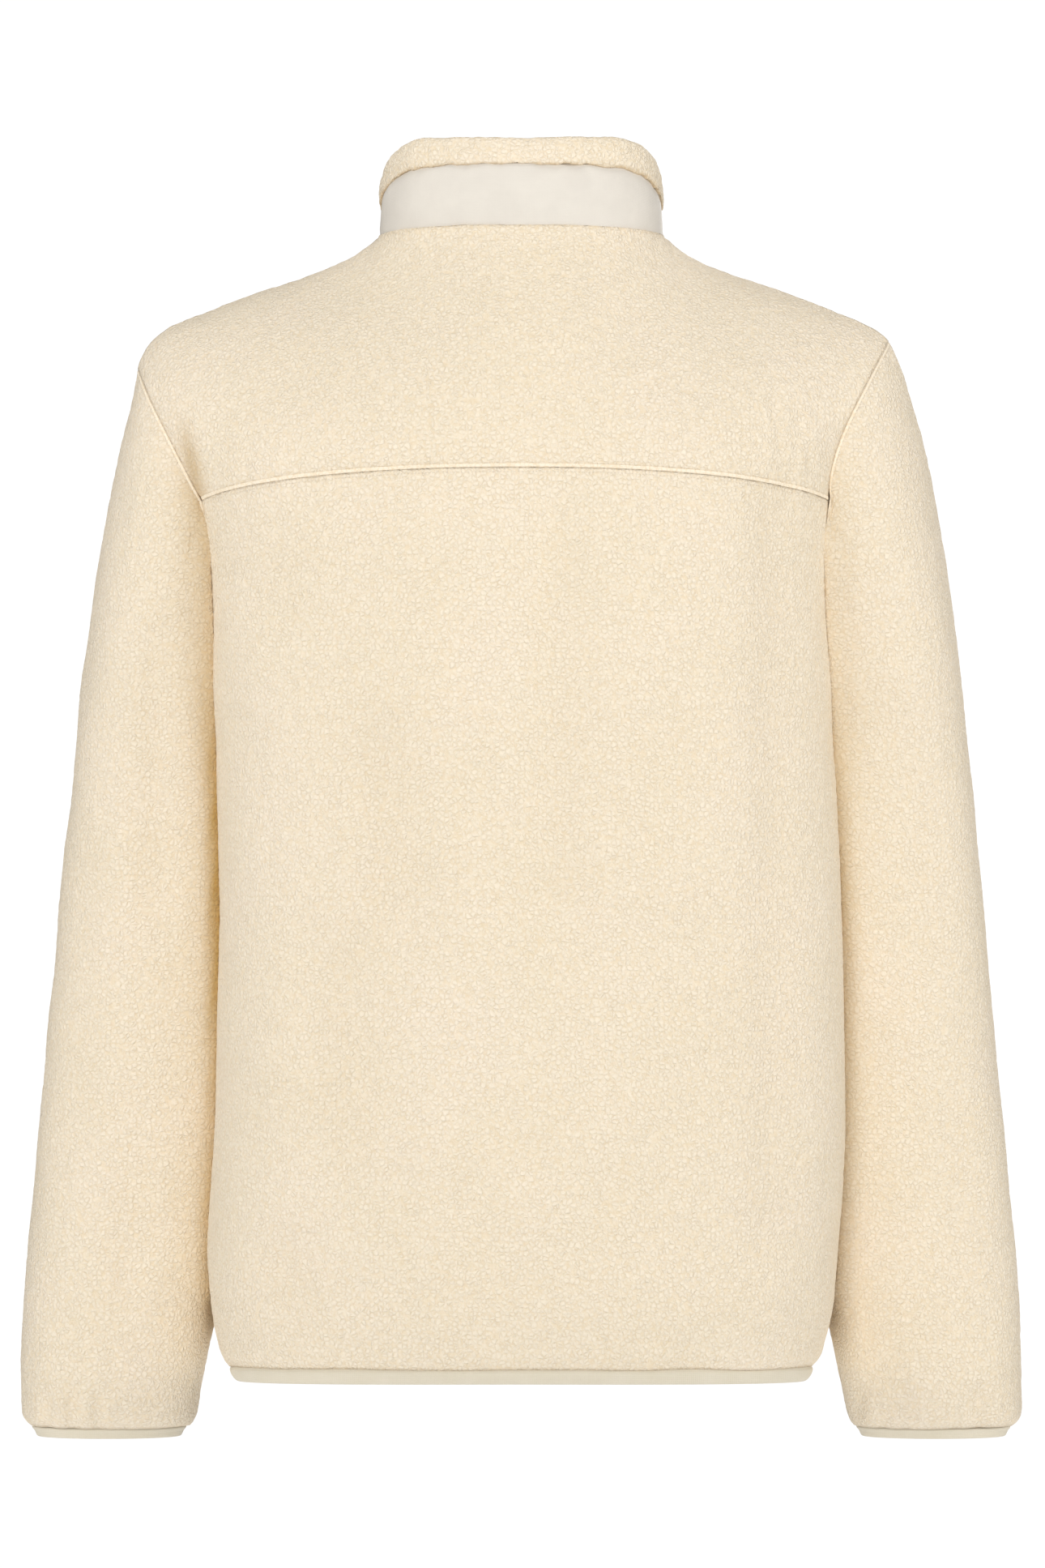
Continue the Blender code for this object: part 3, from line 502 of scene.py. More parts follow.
def sleeve_surface(side, armpit, shoulder, cap, tube):
    """Rings of a sleeve from the armhole to the cuff seam, column by column around it."""
    halves = []
    for face, sign in FACE_SIGN.items():
        edge = armhole_edge(face, side, armpit, shoulder)
        shares = run_lengths(edge) / line_length(edge)
        leave = table_points(LEAVE, (side, 3, 4), shares) * (1, sign, 1)
        first_ring, next_ring = (tube_half(side, CAP_END_Z - drop, shares, sign > 0)
                                 for drop in (0.0, TUBE_STEP))
        run = (first_ring - next_ring) / TUBE_STEP
        above = first_ring + run * smooth_at(LEAVE, 5, shares)[:, None] * MM
        rings = [handles(edge, edge + leave, above, first_ring, w) for w in cap]
        heights = CAP_END_Z + tube[1:] * (CUFF_SEAM_Z - CAP_END_Z)
        rings.extend(tube_half(side, z, shares, sign > 0) for z in heights)
        halves.append(np.array(rings))
    back_half, front_half = halves
    ring = np.concatenate([back_half, front_half[:, -2:0:-1]], axis=1)
    gap = ring[..., 0] - body_side_x(side, ring[..., 1], ring[..., 2]) + SLEEVE_PRESS
    near = eased(1.6 - gap / PRESS_REACH) * eased((YOKE_END_Z - ring[..., 2]) / PRESS_FADE)
    near *= eased((ring[..., 2] - PRESS_END_Z) / PRESS_FADE)
    ring[..., 0] -= np.clip(gap, 0.0, None) * near
    return ring * (1 if side == LEFT else -1, 1, 1)


def plan_normals(path, closed):
    """Level directions across a path, pointing away from its middle."""
    if closed:
        run = np.roll(path, -1, axis=0) - np.roll(path, 1, axis=0)
    else:
        run = np.gradient(path, axis=0)
    across = unit(np.stack([run[:, 1], -run[:, 0], 0 * run[:, 0]], axis=1))
    return -across if np.sum(across * (path - path.mean(axis=0))) < 0 else across


def profile_rings(path, profile, closed):
    """Rings of a profile of (out, up) points in millimetres, set along a path."""
    across = plan_normals(path, closed)
    up = np.array((0.0, 0.0, MM))
    return [[p + n * out * MM + up * rise for out, rise in profile] for p, n in zip(path, across)]


def turn_of(path):
    """Degrees from the centre back of each point of the collar seam."""
    power = NECK_ROUNDNESS / 2
    out = np.abs(path[:, 0] / NECK_HALF_WIDTH) ** power
    y = (path[:, 1] - NECK_CENTRE_Y) / NECK_HALF_DEPTH
    return np.degrees(np.arctan2(out, powered(y, power)))


def collar_spot(p, n, out, z):
    """A point of the collar, which leans in a little as it rises."""
    lean = COLLAR_LEAN * (z - p[2])
    return (p[0] + n[0] * (out - lean), p[1] + n[1] * (out - lean), z)


def centre_front():
    """Depth and height along the middle of the front, from the hem to the top of the collar."""
    body, armpit, shoulder = (even_shares(count) for count in (90, 12, 30))
    line = plain_surface("front", np.array([1e-9]), body, armpit, shoulder)[:, 0, 1:]
    seam = line[-1]
    height = np.linspace(0.008, float(smooth_at(COLLAR, 2, 180.0)) * MM - seam[1], 5)
    collar = np.stack([seam[0] + COLLAR_LEAN * height, seam[1] + height], axis=1)
    return np.concatenate([line, collar])


def strip_rings(path, x_near, x_far, near, far):
    """Rings of a flat strip that follows the front, between two depths below its surface."""
    run = unit(np.gradient(path, axis=0))
    corners = ((x_near, near), (x_far, near), (x_far, far), (x_near, far))
    return [[(x, y + dz * d, z - dy * d) for x, d in corners]
            for (y, z), (dy, dz) in zip(path, run)]


# Pile and unevenness -----------------------------
CURL_SIZE, TUFT_SIZE = 0.0048, 0.0026
CURL_HEIGHT, CURL_MIDDLE, CURL_SHARP, CURL_SPREAD = 0.0006, 0.75, 7.0, 0.55
SWELL_SIZE, SWELL_HEIGHT = 0.034, 0.001
SKIN_WALL = 0.0034
ROLL_DEPTH, ROLL_WIDTH = 0.0005, 0.0022
NECK_ROLL = -0.0006
# Collar: raggedness of the roll's lip, the band's extra height, and its wrinkles
LIP_RAGGED, BAND_RISE, WRINKLE = 0.0009, 0.0018, 0.0005
# Sections of the roll and the band: out, level (0 neck seam, 1 top of the band, 2 crest) and rise
ROLL_PROFILE = (
    (-6.0, 0, -2), (-6.1, 0.5, 0), (-6.2, 1, 0), (-8.2, 1.4, 0), (-8.0, 1.76, 0), (-6.2, 1.94, 0),
    (-3.4, 2, 0), (-0.6, 1.94, 0), (1.2, 1.75, 0), (1.9, 1.45, 0), (1.9, 1.1, 0), (1.0, 1, -1),
    (0.1, 1, -0.6), (-1.8, 1, 0.4), (-1.8, 0.5, 0), (-2.4, 0, -2),
)
BAND_PROFILE = (
    (0, 0, 1.2), (0, 1, -2.6), (-0.9, 1, 0.2), (-1.6, 1, 0.2), (-1.6, 0, 0), (-2.8, 0, -3),
    (-1.4, 0, -3),
)
# Section, points round it, and how much a millimetre outward counts in their spacing
COLLAR_SECTIONS = (("roll", ROLL_PROFILE, 84, MM), ("band", BAND_PROFILE, 40, 1))


def scatter(cells, seed):
    """A steady number from 0 to 1 for each whole-numbered cell."""
    c = cells.astype(np.int64).astype(np.uint32)
    mixed = c[..., 0] * np.uint32(73856093) ^ c[..., 1] * np.uint32(19349663)
    mixed = mixed ^ c[..., 2] * np.uint32(83492791) ^ np.uint32(seed * 2654435 + 97)
    mixed = (mixed ^ (mixed >> np.uint32(15))) * np.uint32(2246822519)
    mixed = (mixed ^ (mixed >> np.uint32(13))) * np.uint32(3266489917)
    return (mixed ^ (mixed >> np.uint32(16))) / 4294967295.0


def swell(points, size, seed):
    """Soft unevenness from -1 to 1 with hills of about the given size."""
    place = points / size
    cell = np.floor(place)
    part = place - cell
    part = part * part * (3 - 2 * part)
    total = 0.0
    for corner in product((0, 1), repeat=3):
        weight = np.prod(np.where(corner, part, 1 - part), axis=-1)
        total = total + weight * scatter(cell + corner, seed)
    return 2 * total - 1


def curls(points, size, seed):
    """Round curls of pile: about 1 on the top of one, down to 0 in the crevices between them."""
    place = points / size
    cell = np.floor(place)
    total = np.zeros(points.shape[:-1])
    for step in product((-1, 0, 1), repeat=3):
        other = cell + step
        centre = other + np.stack([scatter(other, seed + k) for k in range(3)], axis=-1)
        total += np.exp(-CURL_SHARP * np.sum((place - centre) ** 2, axis=-1))
    return np.clip(1 + np.log(total + 1e-6) / CURL_SHARP / CURL_SPREAD, 0.0, 1.2)


def edge_distance(grid, closed):
    """Distance of each point from the first and last row, and the first and last column."""
    down = run_lengths(grid)
    found = [down, down[-1] - down]
    if not closed:
        side = run_lengths(grid.swapaxes(0, 1)).T
        found += [side, side[:, -1:] - side]
    return found


def fold_relief(rows, points, facing):
    """Height of a panel's folds above its plain surface, at each point of it."""
    height = np.zeros(points.shape[:-1])
    x, z = points[..., 0] / MM, points[..., 2] / MM
    for middle, top, bottom, lean, width, depth, fade_top, fade_bottom, face in rows:
        across = (x - (middle + lean * (z - (top + bottom) / 2))) / width
        run = eased((top - z) / fade_top) * eased((z - bottom) / fade_bottom)
        side = eased(0.5 + facing * 2.5 * FACE_SIGN[face])
        height = height + depth * run * np.exp(-across ** 2) * side
    return height * MM


# Meshes ------------------------------------------
def add_object(name, data):
    item = bpy.data.objects.new(name, data)
    bpy.context.scene.collection.objects.link(item)
    return item


def add_mesh(name, verts, faces, material, values=None):
    """One smooth object of the jacket, with named values for its points where they are given."""
    mesh = bpy.data.meshes.new(name)
    mesh.from_pydata(np.asarray(verts, dtype=float).tolist(), [], faces)
    mesh.shade_smooth()
    for label, numbers in (values or {}).items():
        held = mesh.attributes.new(label, "FLOAT", "POINT")
        held.data.foreach_set("value", np.asarray(numbers, dtype=np.float32).reshape(-1))
    mesh.materials.append(material)
    item = add_object(name, mesh)
    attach(item, "jacket")
    return item


def quads(rows, columns, closed, first=0, turned=False, joined=False):
    """Faces of a grid of points; closed joins its last column to its first, joined its rows."""
    index = first + np.arange(rows * columns).reshape(rows, columns)
    if closed:
        index = np.concatenate([index, index[:, :1]], axis=1)
    if joined:
        index = np.concatenate([index, index[:1]])
    low, high = index[:-1], index[1:]
    loop = [low[:, :-1], low[:, 1:], high[:, 1:], high[:, :-1]]
    return np.stack(loop[::-1] if turned else loop, axis=-1).reshape(-1, 4).tolist()


def skin(name, outer, inner, step, closed, out, material, values):
    """A thin closed shell: the fine outer grid, a coarser inner one, and rims between them."""
    first = outer.shape[0] * outer.shape[1]
    faces = quads(*outer.shape[:2], closed) + quads(*inner.shape[:2], closed, first, turned=True)
    fine = np.arange(first).reshape(outer.shape[:2])
    small = first + np.arange(inner.shape[0] * inner.shape[1]).reshape(inner.shape[:2])
    if closed:
        fine, small = (np.concatenate([part, part[:, :1]], axis=1) for part in (fine, small))
    rims = [(fine[0], small[0], True), (fine[-1], small[-1], False)]
    if not closed:
        rims += [(fine[:, 0], small[:, 0], False), (fine[:, -1], small[:, -1], True)]
    for long, short, turned in rims:
        long, short = long.tolist(), short.tolist()
        for m in range(len(short) - 1):
            part, ends = long[step * m:step * (m + 1) + 1], short[m:m + 2]
            faces.append(part[::-1] + ends if turned else part + ends[::-1])
    verts = np.concatenate([outer.reshape(-1, 3), inner.reshape(-1, 3)])
    sample = faces[len(faces) // 4]
    a, b, c = (verts[k] for k in sample[:3])
    if np.dot(np.cross(b - a, c - a), out.reshape(-1, 3)[sample[0]]) < 0:
        faces = [face[::-1] for face in faces]
    # The inner points take 0.5 of each value: half the painted shade inside the shell
    spare = np.full(len(verts) - first, 0.5)
    values = {label: np.concatenate([numbers.reshape(-1), spare])
              for label, numbers in values.items()}
    return add_mesh(name, verts, faces, material, values)


# Fleece panels -----------------------------------
BACK_HALF = 140
FRONT_HALF = 112
BACK_ROWS, FRONT_ROWS = 252, 220
ARMPIT_STEPS, TOP_STEPS = 30, 88
SLEEVE_CAP, SLEEVE_TUBE = 84, 204
SKIN_STEP = 4
# Points this near are one; length of their mean normal where they start to share it, and its run
SAME_SPOT, ALIKE_FROM, ALIKE_RUN = 1e-5, 0.35, 0.4
# How deep the pile's edges roll in, and the lowest point of an edge that does so all along
HEM_ROLL, YOKE_ROLL, WHOLE_EDGE = 0.0008, 0.0005, -1.0
RIM_FADE = 0.012
# Painted shade along the seams and edges: its width, and its strength
SEAM_SHADE, SEAM_DEPTH = 0.0016, 0.15
CUFF_BULGE, CUFF_BULGE_AT = 0.0008, 0.009
# Shade of the sleeves beside the body: its ends and its paler lower part, each a level and the
# length of its fading; the level where it turns; its widths below and above the turn; how far it is
# at its deepest; and its depths above and below the turn
NOOK_TOP, NOOK_FOOT, NOOK_PALE, PALE_SHARE = (-0.09, 0.07), (-0.70, 0.05), (-0.42, 0.12), 0.35
NOOK_TURN, NOOK_WIDTH, NOOK_FLAT = (-0.36, 0.12), (0.0055, 0.012), 0.0025
NOOK_DEPTH = {"sleeve_left": (0.5, 1.0), "sleeve_right": (0.15, 0.5)}
# Painted shade in the folds: its strength, and the fold depth at which it is full
FOLD_SHADE, DEEP_FOLD = 0.03, 0.004
# Painted shade of a pocket-like fold of the yoke beside the left armhole, with no relief of its own
POCKET_X, POCKET_LEAN = 0.1925, 0.22
POCKET_WIDTH, POCKET_TOP, POCKET_SHADE = 0.0055, -0.105, 0.55


def join_normals(panels):
    """Give points that two panels share one normal, so that their pile meets edge to edge."""
    shared = {}
    for name, (grid, normals, closed, edges) in panels.items():
        rows, columns = grid.shape[:2]
        rim = [(i, j) for i in (0, rows - 1) for j in range(columns)]
        if not closed:
            rim += [(i, j) for i in range(1, rows - 1) for j in (0, columns - 1)]
        for index in rim:
            key = tuple(np.round(grid[index] / SAME_SPOT).astype(int))
            shared.setdefault(key, []).append((normals, index))
    for spots in shared.values():
        mean = np.mean([normals[index] for normals, index in spots], axis=0)
        alike = eased((np.linalg.norm(mean) - ALIKE_FROM) / ALIKE_RUN)
        for normals, index in spots:
            normals[index] = unit((1 - alike) * normals[index] + alike * unit(mean))


def panel_grids():
    """The plain grids of the fleece panels, their normals, and how deep each edge rolls in."""
    arm, top = even_shares(ARMPIT_STEPS), even_shares(TOP_STEPS)
    across = np.linspace(-1, 1, 2 * BACK_HALF + 1)
    back = plain_surface("back", across, even_shares(BACK_ROWS), arm, top)
    seam = BACK_ROWS + ARMPIT_STEPS
    neck, hem, yoke, edge = ((depth, WHOLE_EDGE)
                             for depth in (NECK_ROLL, HEM_ROLL, YOKE_ROLL, ROLL_DEPTH))
    armhole = (ROLL_DEPTH, UNDERARM_Z)
    plain = {
        "back_panel": (back[:seam + 1], (0, 1, 0), False, (hem, yoke, armhole, armhole)),
        "back_yoke": (back[seam:], (0, 1, 0.3), False, (yoke, neck, armhole, armhole)),
    }
    for name, sign in (("front_left", 1), ("front_right", -1)):
        places = even_shares(FRONT_HALF)
        places[0] = 1e-9
        grid = plain_surface("front", places * sign, even_shares(FRONT_ROWS), arm, top)
        plain[name] = (grid, (0, -1, 0.3), False, (hem, neck, edge, armhole))
    for name, side in (("sleeve_left", LEFT), ("sleeve_right", RIGHT)):
        grid = sleeve_surface(side, arm, top, even_shares(SLEEVE_CAP), even_shares(SLEEVE_TUBE))
        plain[name] = (grid, None, True, (edge, hem))
    panels = {}
    for name, (grid, hint, closed, edges) in plain.items():
        normals = ring_normals(grid) if closed else sheet_normals(grid, hint)
        panels[name] = (grid, normals, closed, edges)
    join_normals(panels)
    return panels


def panel_folds(name):
    """Rows for fold_relief of one panel: the columns of FOLDS, two fading lengths and the face."""
    sleeve = name.startswith("sleeve")
    part = name if sleeve else name.split("_")[0]
    fade = SLEEVE_FADE if sleeve else FADE
    rows = []
    for table, length in ((FOLDS, fade), (CRINKLES, CRINKLE_FADE)):
        rows += [(*row, length, length, face)
                 for face in FACE_SIGN for row in table.get((part, face), ())]
    return rows + [(x, top, GATHER_END, 0, width, depth, *GATHER_FADES, face) for face in FACE_SIGN
                   for x, top, width, depth in GATHERS.get((part, face), ())]


def pile_height(points):
    """The pile's own height, 0 in the deepest crevices to about 1 on top of the curls."""
    tuft = 0.5 + 0.5 * swell(points, TUFT_SIZE, 5)
    return 0.7 * curls(points, CURL_SIZE, 3) + 0.3 * tuft


def painted_shade(name, grid, distances, folds):
    """Painted shade of each point, 0 to 1: in the crease beside the body, at seams, in folds and on
    the yoke by the left armhole.
    """
    seam = sum(np.exp(-(distance / SEAM_SHADE) ** 2) for distance in distances)
    depth = SEAM_DEPTH * np.clip(seam, 0, 1) + FOLD_SHADE * np.clip(-folds / DEEP_FOLD, 0, 1)
    x, y, z = grid[..., 0], grid[..., 1], grid[..., 2]
    if name in NOOK_DEPTH:
        side = LEFT if name.endswith("left") else RIGHT
        upper, lower = NOOK_DEPTH[name]
        gap = np.abs(x) - body_side_x(side, np.maximum(y, SIDE_SEAM_Y), z)
        beside = eased((NOOK_TOP[0] - z) / NOOK_TOP[1]) * eased((z - NOOK_FOOT[0]) / NOOK_FOOT[1])
        high = eased((z - NOOK_TURN[0]) / NOOK_TURN[1])
        pale = PALE_SHARE * eased((NOOK_PALE[0] - z) / NOOK_PALE[1])
        deepest = (lower + (upper - lower) * high) * (1 - pale)
        width = NOOK_WIDTH[0] + (NOOK_WIDTH[1] - NOOK_WIDTH[0]) * high
        fall = np.exp(-(np.clip(gap - NOOK_FLAT, 0, None) / width) ** 1.4)
        depth = np.maximum(depth, deepest * beside * fall)
    # Painted shade of the pocket-like fold beside the left armhole
    if name == "back_yoke":
        across = (x - POCKET_X - POCKET_LEAN * (z - YOKE_END_Z)) / POCKET_WIDTH
        pocket = POCKET_SHADE * np.exp(-across ** 2) * eased((POCKET_TOP - z) / 0.04)
        depth = np.maximum(depth, pocket)
    return depth


def fleece_panel(name, panel, material):
    """One panel as a furry skin over its plain grid, and its surface without the curls."""
    grid, normals, closed, edges = panel
    distances = edge_distance(grid, closed)
    fade = 1.0
    for distance in distances[:1] if closed else distances[2:]:
        fade = fade * (1 - np.exp(-(distance / RIM_FADE) ** 2))
    folds = fold_relief(panel_folds(name), grid, normals[..., 1]) * fade
    height = folds + SWELL_HEIGHT * swell(grid, SWELL_SIZE, 11)
    calm = np.ones(grid.shape[:2])
    if closed:
        height += CUFF_BULGE * np.exp(-((distances[1] - CUFF_BULGE_AT) / CUFF_BULGE_AT) ** 2)
    for distance, (depth, lowest) in zip(distances, edges):
        beside = np.exp(-(distance / ROLL_WIDTH) ** 2) * eased((grid[..., 2] - lowest) / RIM_FADE)
        height -= depth * beside
        if depth > 0:
            calm *= 1 - beside
    pile = CURL_HEIGHT * (pile_height(grid) - CURL_MIDDLE) * calm
    height += pile
    outer = grid + normals * height[..., None]
    carrier = outer - normals * pile[..., None]
    inner = (grid + normals * (folds - SKIN_WALL)[..., None])[::SKIN_STEP, ::SKIN_STEP]
    # The panel's painted shade, which the fleece material turns into darker, browner colour
    values = {"painted_shade": painted_shade(name, grid, distances, folds)}
    item = skin(name + "_fleece", outer, inner, SKIN_STEP, closed, normals, material,
                values)
    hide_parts(name)
    return item, carrier


# Strips, bindings and collar -------------------------------------------------------------------
def rounded_loop(profile, rounds=2):
    """A closed profile with its corners cut soft."""
    loop = np.asarray(profile, dtype=float)
    for _ in range(rounds):
        following = np.roll(loop, -1, axis=0)
        loop = np.stack([0.75 * loop + 0.25 * following, 0.25 * loop + 0.75 * following], axis=1)
        loop = loop.reshape(-1, 2)
    return loop


def tube_mesh(name, rings, closed, material, values=None):
    """A solid through like rings, joined end to end or closed with a face at each end."""
    rings = np.asarray(rings, dtype=float)
    count, around = rings.shape[:2]
    faces = quads(count, around, True, joined=closed)
    verts = rings.reshape(-1, 3)
    a, b, c = (verts[np.array(faces)[:, k]] - verts.mean(axis=0) for k in range(3))
    if not closed:
        faces += [list(range(around))[::-1], list(range(around * (count - 1), around * count))]
    if np.sum(a * np.cross(b, c)) < 0:
        faces = [face[::-1] for face in faces]
    return add_mesh(name, verts, faces, material, values)


def even_path(points, step):
    """A line of points spaced evenly, about one step apart."""
    count = max(2, round(line_length(points) / step))
    return along(points, even_shares(count))


def make_hem(grids, material):
    left, right, back = (grids[n][0][0] for n in ("front_left", "front_right", "back_panel"))
    path = even_path(np.concatenate([left, back[-2:0:-1], right[::-1]]), 0.0035)
    profile = rounded_loop((
        (-4.2, 1.6), (-2.2, 1.6), (-0.9, -0.2), (-0.4, -1.6), (-1.7, -5.0),
        (-4.2, -8.0), (-6.6, -8.6), (-7.8, -7.2), (-4.6, -1.6),
    ))
    rings = profile_rings(path, profile, False)
    return tube_mesh("hem_elastic", rings, False, material)


def make_cuff(name, sign, material):
    outer, inner, centre, half_depth = (size_at(SLEEVE, i, CUFF_END_Z) for i in (1, 2, 3, 4))
    turn = np.linspace(0.0, 2 * pi, 120, endpoint=False)
    profile = rounded_loop((
        (-3.2, 1.6), (-0.4, 1.8), (2.2, 0.9), (2.7, -0.7), (1.0, -2.4), (0.1, -4.6), (-0.8, -6.0),
        (-2.8, -6.0), (-3.4, -4.6), (-3.4, -1.5),
    ))
    x = sign * ((outer + inner) / 2 + (outer - inner) / 2 * np.cos(turn))
    y = centre + half_depth * np.sin(turn)
    path = np.stack([x, y, np.full(len(turn), CUFF_SEAM_Z)], axis=1)
    return tube_mesh(name, profile_rings(path, profile, True), True, material)


def collar_line(grids):
    """The collar seam from the left side of the zip round the neck to the right side of it."""
    front_steps = round(NECK_SHARE * FRONT_HALF)
    back_steps = round(NECK_SHARE * BACK_HALF)
    left = grids["front_left"][0][-1, :front_steps + 1]
    right = grids["front_right"][0][-1, :front_steps + 1]
    back = grids["back_yoke"][0][-1]
    back = back[BACK_HALF - back_steps + 1:BACK_HALF + back_steps][::-1]
    return even_path(np.concatenate([left, back, right[::-1]]), 0.0018)


def loop_spots(profile, count):
    """A closed profile softened at its corners, as evenly spaced points."""
    loop = rounded_loop(profile, 1)
    return along(np.concatenate([loop, loop[:1]]), even_shares(count)[:-1])


def make_collar(grids, fleece, woven):
    path = collar_line(grids)
    turns = turn_of(path)
    across = plan_normals(path, False)
    across[0] = across[-1] = (0, -1, 0)
    band = smooth_at(COLLAR, 1, turns) * MM + BAND_RISE
    crest = smooth_at(COLLAR, 2, turns) * MM
    made = {"roll": [], "band": []}
    for p, n, *tops in zip(path, across, band, crest):
        levels = (p[2] + SEAM_HALF_GAP, *tops)
        for part, profile, count, weight in COLLAR_SECTIONS:
            loop = [(out * weight, np.interp(level, (0, 1, 2), levels) + up * MM)
                    for out, level, up in profile]
            made[part].append([collar_spot(p, n, out / weight * MM, z)
                               for out, z in loop_spots(loop, count)])
    rolls, bands = np.array(made["roll"]), np.array(made["band"])
    bump = 1.4 * CURL_HEIGHT * (pile_height(rolls) - CURL_MIDDLE) + 0.0008 * swell(rolls, 0.022, 17)
    rolls = rolls + ring_normals(rolls) * bump[..., None]
    above = rolls[..., 2] - band[:, None]
    rolls[..., 2] += LIP_RAGGED * swell(rolls, 0.0032, 31) * np.exp(-(above / 0.0016) ** 2)
    # Painted shade under the roll's lip, on its outer side just above the band
    outside = np.arange(rolls.shape[1]) > rolls.shape[1] / 2
    lip_shade = 0.5 * np.exp(-((above + 0.0008) / 0.0009) ** 2) * outside
    roll = tube_mesh("collar_fleece", rolls, False, fleece, {"painted_shade": lip_shade})
    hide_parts("collar")
    low = bands * (1, 1, 3.2)
    wrinkle = swell(low, 0.03, 23) + 0.5 * swell(low, 0.014, 29)
    bands = bands + ring_normals(bands) * (WRINKLE * wrinkle)[..., None]
    strip = tube_mesh("collar_band_cloth", bands, False, woven)
    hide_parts("collar_band")
    return roll, strip, path


# Sewing ------------------------------------------
# Cord: distance from the seam, lift, half-width and rise; rows of stitches: distance and lift; one
# stitch: pitch, length, width and height
YOKE_SEWING = (
    (0.0, 0.0004, 0.0011, 0.0003),
    ((0.0018, 0.0), (0.0038, 0.0)),
    (0.0021, 0.0010, 0.0006, 0.0004),
)
ARMHOLE_SEWING = (
    (0.0014, 0.0, 0.0008, 0.0003),
    ((0.0003, 0.0001), (0.0027, 0.0)),
    (0.0024, 0.0014, 0.0005, 0.0003),
)
SEWING = (
    ("back_panel", "yoke_{}", YOKE_SEWING),
    ("sleeve_left", "armhole_{}_left", ARMHOLE_SEWING),
    ("sleeve_right", "armhole_{}_right", ARMHOLE_SEWING),
)


def stitch_row(verts, faces, points, normals, pitch, long, wide, tall):
    """Adds stitches laid end to end along a line, each a small capsule half sunk in the cloth."""
    spots = even_path(np.concatenate([points, normals * MM], axis=1), pitch)
    places, ups = spots[:, :3], spots[:, 3:]
    middles = (places[1:] + places[:-1]) / 2
    run = unit(places[1:] - places[:-1])
    up = ups[1:] + ups[:-1]
    up = unit(up - run * np.sum(up * run, axis=1, keepdims=True))
    corners = [(-0.5, 0.0, 0.0)]
    for at in (-0.3, 0.3):
        corners += [(at, 0.8 * cos(t), 0.8 * sin(t)) for t in np.arange(4) * pi / 2]
    corners.append((0.5, 0.0, 0.0))
    loops = []
    for k in range(4):
        after = (k + 1) % 4
        loops += [(0, 1 + after, 1 + k), (1 + k, 1 + after, 5 + after, 5 + k),
                  (9, 5 + k, 5 + after)]
    for m, r, s, u in zip(middles, run, np.cross(run, up), up):
        faces += [tuple(len(verts) + k for k in loop) for loop in loops]
        verts += [m + r * a * long + s * b * wide / 2 + u * c * tall / 2 for a, b, c in corners]


def cord_rings(points, normals, radius, rise):
    """Rings of a flat ridge that lies along a seam."""
    run = unit(np.gradient(points, axis=0))
    up = unit(normals - run * np.sum(normals * run, axis=1, keepdims=True))
    turn = np.linspace(0.0, 2 * pi, 10, endpoint=False)
    return [[p + radius * s * cos(t) + rise * u * sin(t) for t in turn]
            for p, s, u in zip(points, np.cross(run, up), up)]


def offset_line(carrier, normals, from_top, distance, lift):
    """A line across a panel at a distance from its first or last row, lifted off its surface."""
    rows, ups = (part[::-1][:12] if from_top else part[:12] for part in (carrier, normals))
    run = run_lengths(rows)
    line, up = (np.array([[np.interp(distance, run[:, j], part[:, j, k]) for k in range(3)]
                          for j in range(run.shape[1])]) for part in (rows, ups))
    return line + up * lift, up


def make_sewing(grids, carriers, thread, cord_cloth):
    """The cords and the rows of stitches at the yoke and the armholes."""
    made = {}
    for panel, names, (cord, sewn, stitch) in SEWING:
        carrier, (grid, normals, closed, edges) = carriers[panel], grids[panel]
        distance, lift, radius, rise = cord
        line, up = offset_line(carrier, normals, not closed, distance, lift)
        if not closed:
            line, up = line[1:-1], up[1:-1]
        name = names.format("cord")
        rings = cord_rings(line, up, radius, rise)
        made[name] = tube_mesh(name, rings, closed, cord_cloth)
        verts, faces = [], []
        for distance, lift in sewn:
            line, up = offset_line(carrier, normals, not closed, distance, lift)
            if closed:
                line, up = (np.concatenate([part, part[:1]]) for part in (line, up))
            else:
                line, up = line[2:-2], up[2:-2]
            stitch_row(verts, faces, line, up, *stitch)
        name = names.format("stitches")
        made[name] = add_mesh(name, verts, faces, thread)
    return made


# Zip ---------------------------------------------
TOOTH_PITCH = 0.0026
TOOTH = (
    (-0.0027, -0.0006), (-0.0027, 0.0006), (-0.0008, 0.00055), (0.0002, 0.0008),
    (0.0009, 0.0005), (0.0009, -0.0005), (0.0002, -0.0008), (-0.0008, -0.00055),
)
# Depth below the front and share of the full outline, through a tooth
TOOTH_LAYERS = (
    (CHAIN_NEAR, 0.72), (CHAIN_NEAR + 0.0005, 1.0), (CHAIN_FAR - 0.0005, 1.0), (CHAIN_FAR, 0.72),
)
BOX_TALL = 0.012


